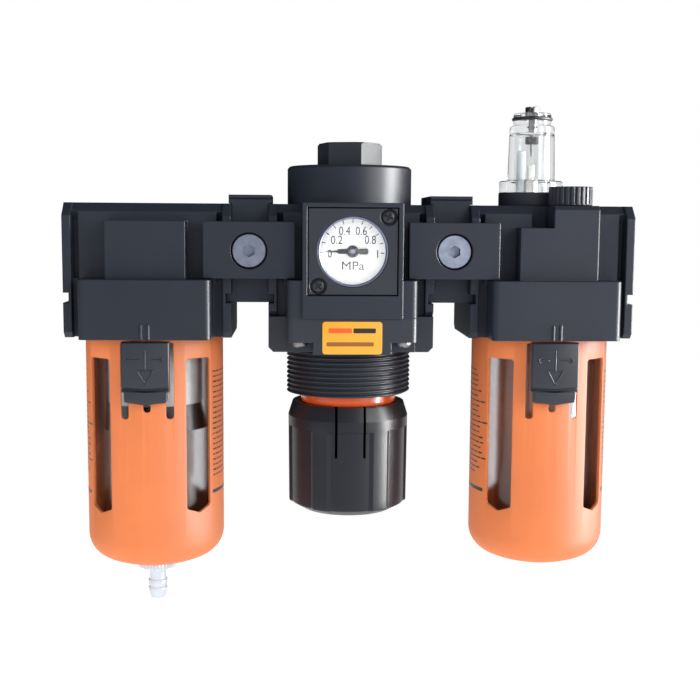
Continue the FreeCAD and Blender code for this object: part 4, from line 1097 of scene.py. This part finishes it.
block(bm, (domeX / mm - v["slotReach"], dome["y"] - v["slotHalf"], v["top"] - v["slotDepth"]),
      (domeX / mm + v["slotReach"], dome["y"] + v["slotHalf"], v["top"] + 1))
bmesh.ops.rotate(bm, verts=bm.verts, cent=(domeX, domeY, 0),
                 matrix=Matrix.Rotation(math.radians(v["slotTurn"]), 3, "Z"))
cutAway(piece, [bm])
v = drip
bm = bmesh.new()
lathe(bm, softened([(v["bore"], v["foot"]), (v["nozzle"], v["foot"]), (v["nozzle"], v["sleeveFoot"]),
                    (v["sleeve"], v["sleeveFoot"]), (v["sleeve"], v["sleeveTop"]),
                    (v["nozzle"], v["sleeveTop"]), (v["nozzle"], v["top"]), (v["bore"], v["top"])], 0.2, 3),
      domeX, domeY, 40)
finishMesh(bm, "dripNozzle", "unit_row", "inner_metal", ["drip_nozzle"])
turnedPiece("needleGuide", "unit_row", "inner_plastic",
            softened([(v["guideBore"], v["guideFoot"]), (v["guide"], v["guideFoot"]),
                      (v["guide"], v["guideTop"]), (v["guideBore"], v["guideTop"])], 0.3, 3), domeX, domeY, 40)
turnedPiece("oilPipe", "unit_row", "tube_clear",
            softened([(v["pipeBore"], v["pipeFoot"]), (v["pipe"], v["pipeFoot"]), (v["pipe"], v["pipeTop"]),
                      (v["pipeBore"], v["pipeTop"])], 0.2, 3), domeX + v["pipeX"] * mm, domeY, 32)
v = plug
plugX = lubricatorX + v["x"] * mm
plugY = v["y"] * mm
bm = bmesh.new()
lathe(bm, softened([(0, v["neckFoot"], 0), (v["neck"], v["neckFoot"]), (v["neck"], v["grooveFoot"]),
                    (v["groove"], v["grooveFoot"]), (v["groove"], v["grooveTop"]), (v["neck"], v["grooveTop"]),
                    (v["neck"], v["foot"]), (v["radius"], v["foot"]), (v["radius"], v["fluteFoot"], 0),
                    (v["radius"], v["fluteTop"], 0), (v["radius"], v["top"], 0.9), (0, v["top"], 0)],
                   0.3, 3, closed=False), plugX, plugY, v["flutes"] * 8, closed=False)
for vert in bm.verts:
    out = Vector((vert.co.x - plugX, vert.co.y - plugY))
    if out.length > (v["radius"] - 1.0) * mm and vert.co.z > (v["foot"] + 0.7) * mm:
        angle = math.atan2(out.y, out.x) * v["flutes"]
        groove = max(0, math.cos(angle)) ** 1.4
        out *= 1 - v["fluteDepth"] * mm * groove / out.length
        vert.co.x = plugX + out.x
        vert.co.y = plugY + out.y
finishMesh(bm, "fillerPlug", "filler", "moulded_black", ["filler_plug"], sharp=40)
v = siphon
turnedPiece("siphonTube", "unit_row", "tube_clear",
            softened([(v["bore"], v["top"]), (v["radius"], v["top"]), (v["radius"], v["end"]),
                      (v["bore"], v["end"])], 0.1, 2), domeX, v["y"] * mm, 32, stands=["siphon_tube"])
bm = bmesh.new()
lathe(bm, softened([(v["radius"], v["cupTop"]), (v["cup"], v["cupTop"]), (v["cup"], v["cupEnd"]),
                    (0, v["cupEnd"], 0)], 0.3, 3, closed=False)
      + [Vector((0, v["cupFloor"])), Vector((v["radius"], v["cupFloor"]))], domeX, v["y"] * mm, 40)
finishMesh(bm, "siphonStrainer", "unit_row", "inner_plastic", ["siphon_strainer"])


# springs: each shortens towards its fixed end, by its joint's travel in mm
print("springs")
springs = dict(
    adjustingSpring=dict(node="adjusting_spring", joint="seat_rise", travel=6.0, fixed=max),
    valveSpring=dict(node="valve_spring", joint="valve_lift", travel=1.5, fixed=max),
    filterLockSpring=dict(node="filter_lock_spring", joint="filter_lock_press", travel=4.0, fixed=min),
    lubricatorLockSpring=dict(node="lubricator_lock_spring", joint="lubricator_lock_press", travel=4.0,
                              fixed=min),
)
for name, v in springs.items():
    piece = castPiece(name, v["node"], "spring_steel")
    heights = [vert.co.z for vert in piece.data.vertices]
    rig.squash(piece, v["joint"], axis=(0, 0, 1), anchor=(0, 0, v["fixed"](heights)),
              keep=1 - v["travel"] * mm / (max(heights) - min(heights)))


# floor; the backdrop is the world's plain white
stage = dict(drop=0.5, width=8.0, glow=0.86)
bm = bmesh.new()
bmesh.ops.create_grid(bm, x_segments=1, y_segments=1, size=stage["width"] / 2,
                      matrix=Matrix.Translation((regulatorX, 0, cadLow.z - stage["drop"])))
mesh = bpy.data.meshes.new("floor")
bm.to_mesh(mesh)
bm.free()
floor = bpy.data.objects.new("floor", mesh)
bpy.context.scene.collection.objects.link(floor)
floorFinish = Finish("floorWhite", (0.9, 0.9, 0.9), Roughness=0.9, Emission_Color=(1, 1, 1, 1),
                     Emission_Strength=stage["glow"])
mesh.materials.append(floorFinish.material)
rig.stage(floor)

seenLow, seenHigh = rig.bounds()
sizes = dict(cad=[list(cadLow), list(cadHigh)], visual=[list(seenLow), list(seenHigh)])
with open("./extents.json", "w") as out:
    json.dump(sizes, out)
print("pieces:", len(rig.pieces()), "standing for", len(used), "nodes")
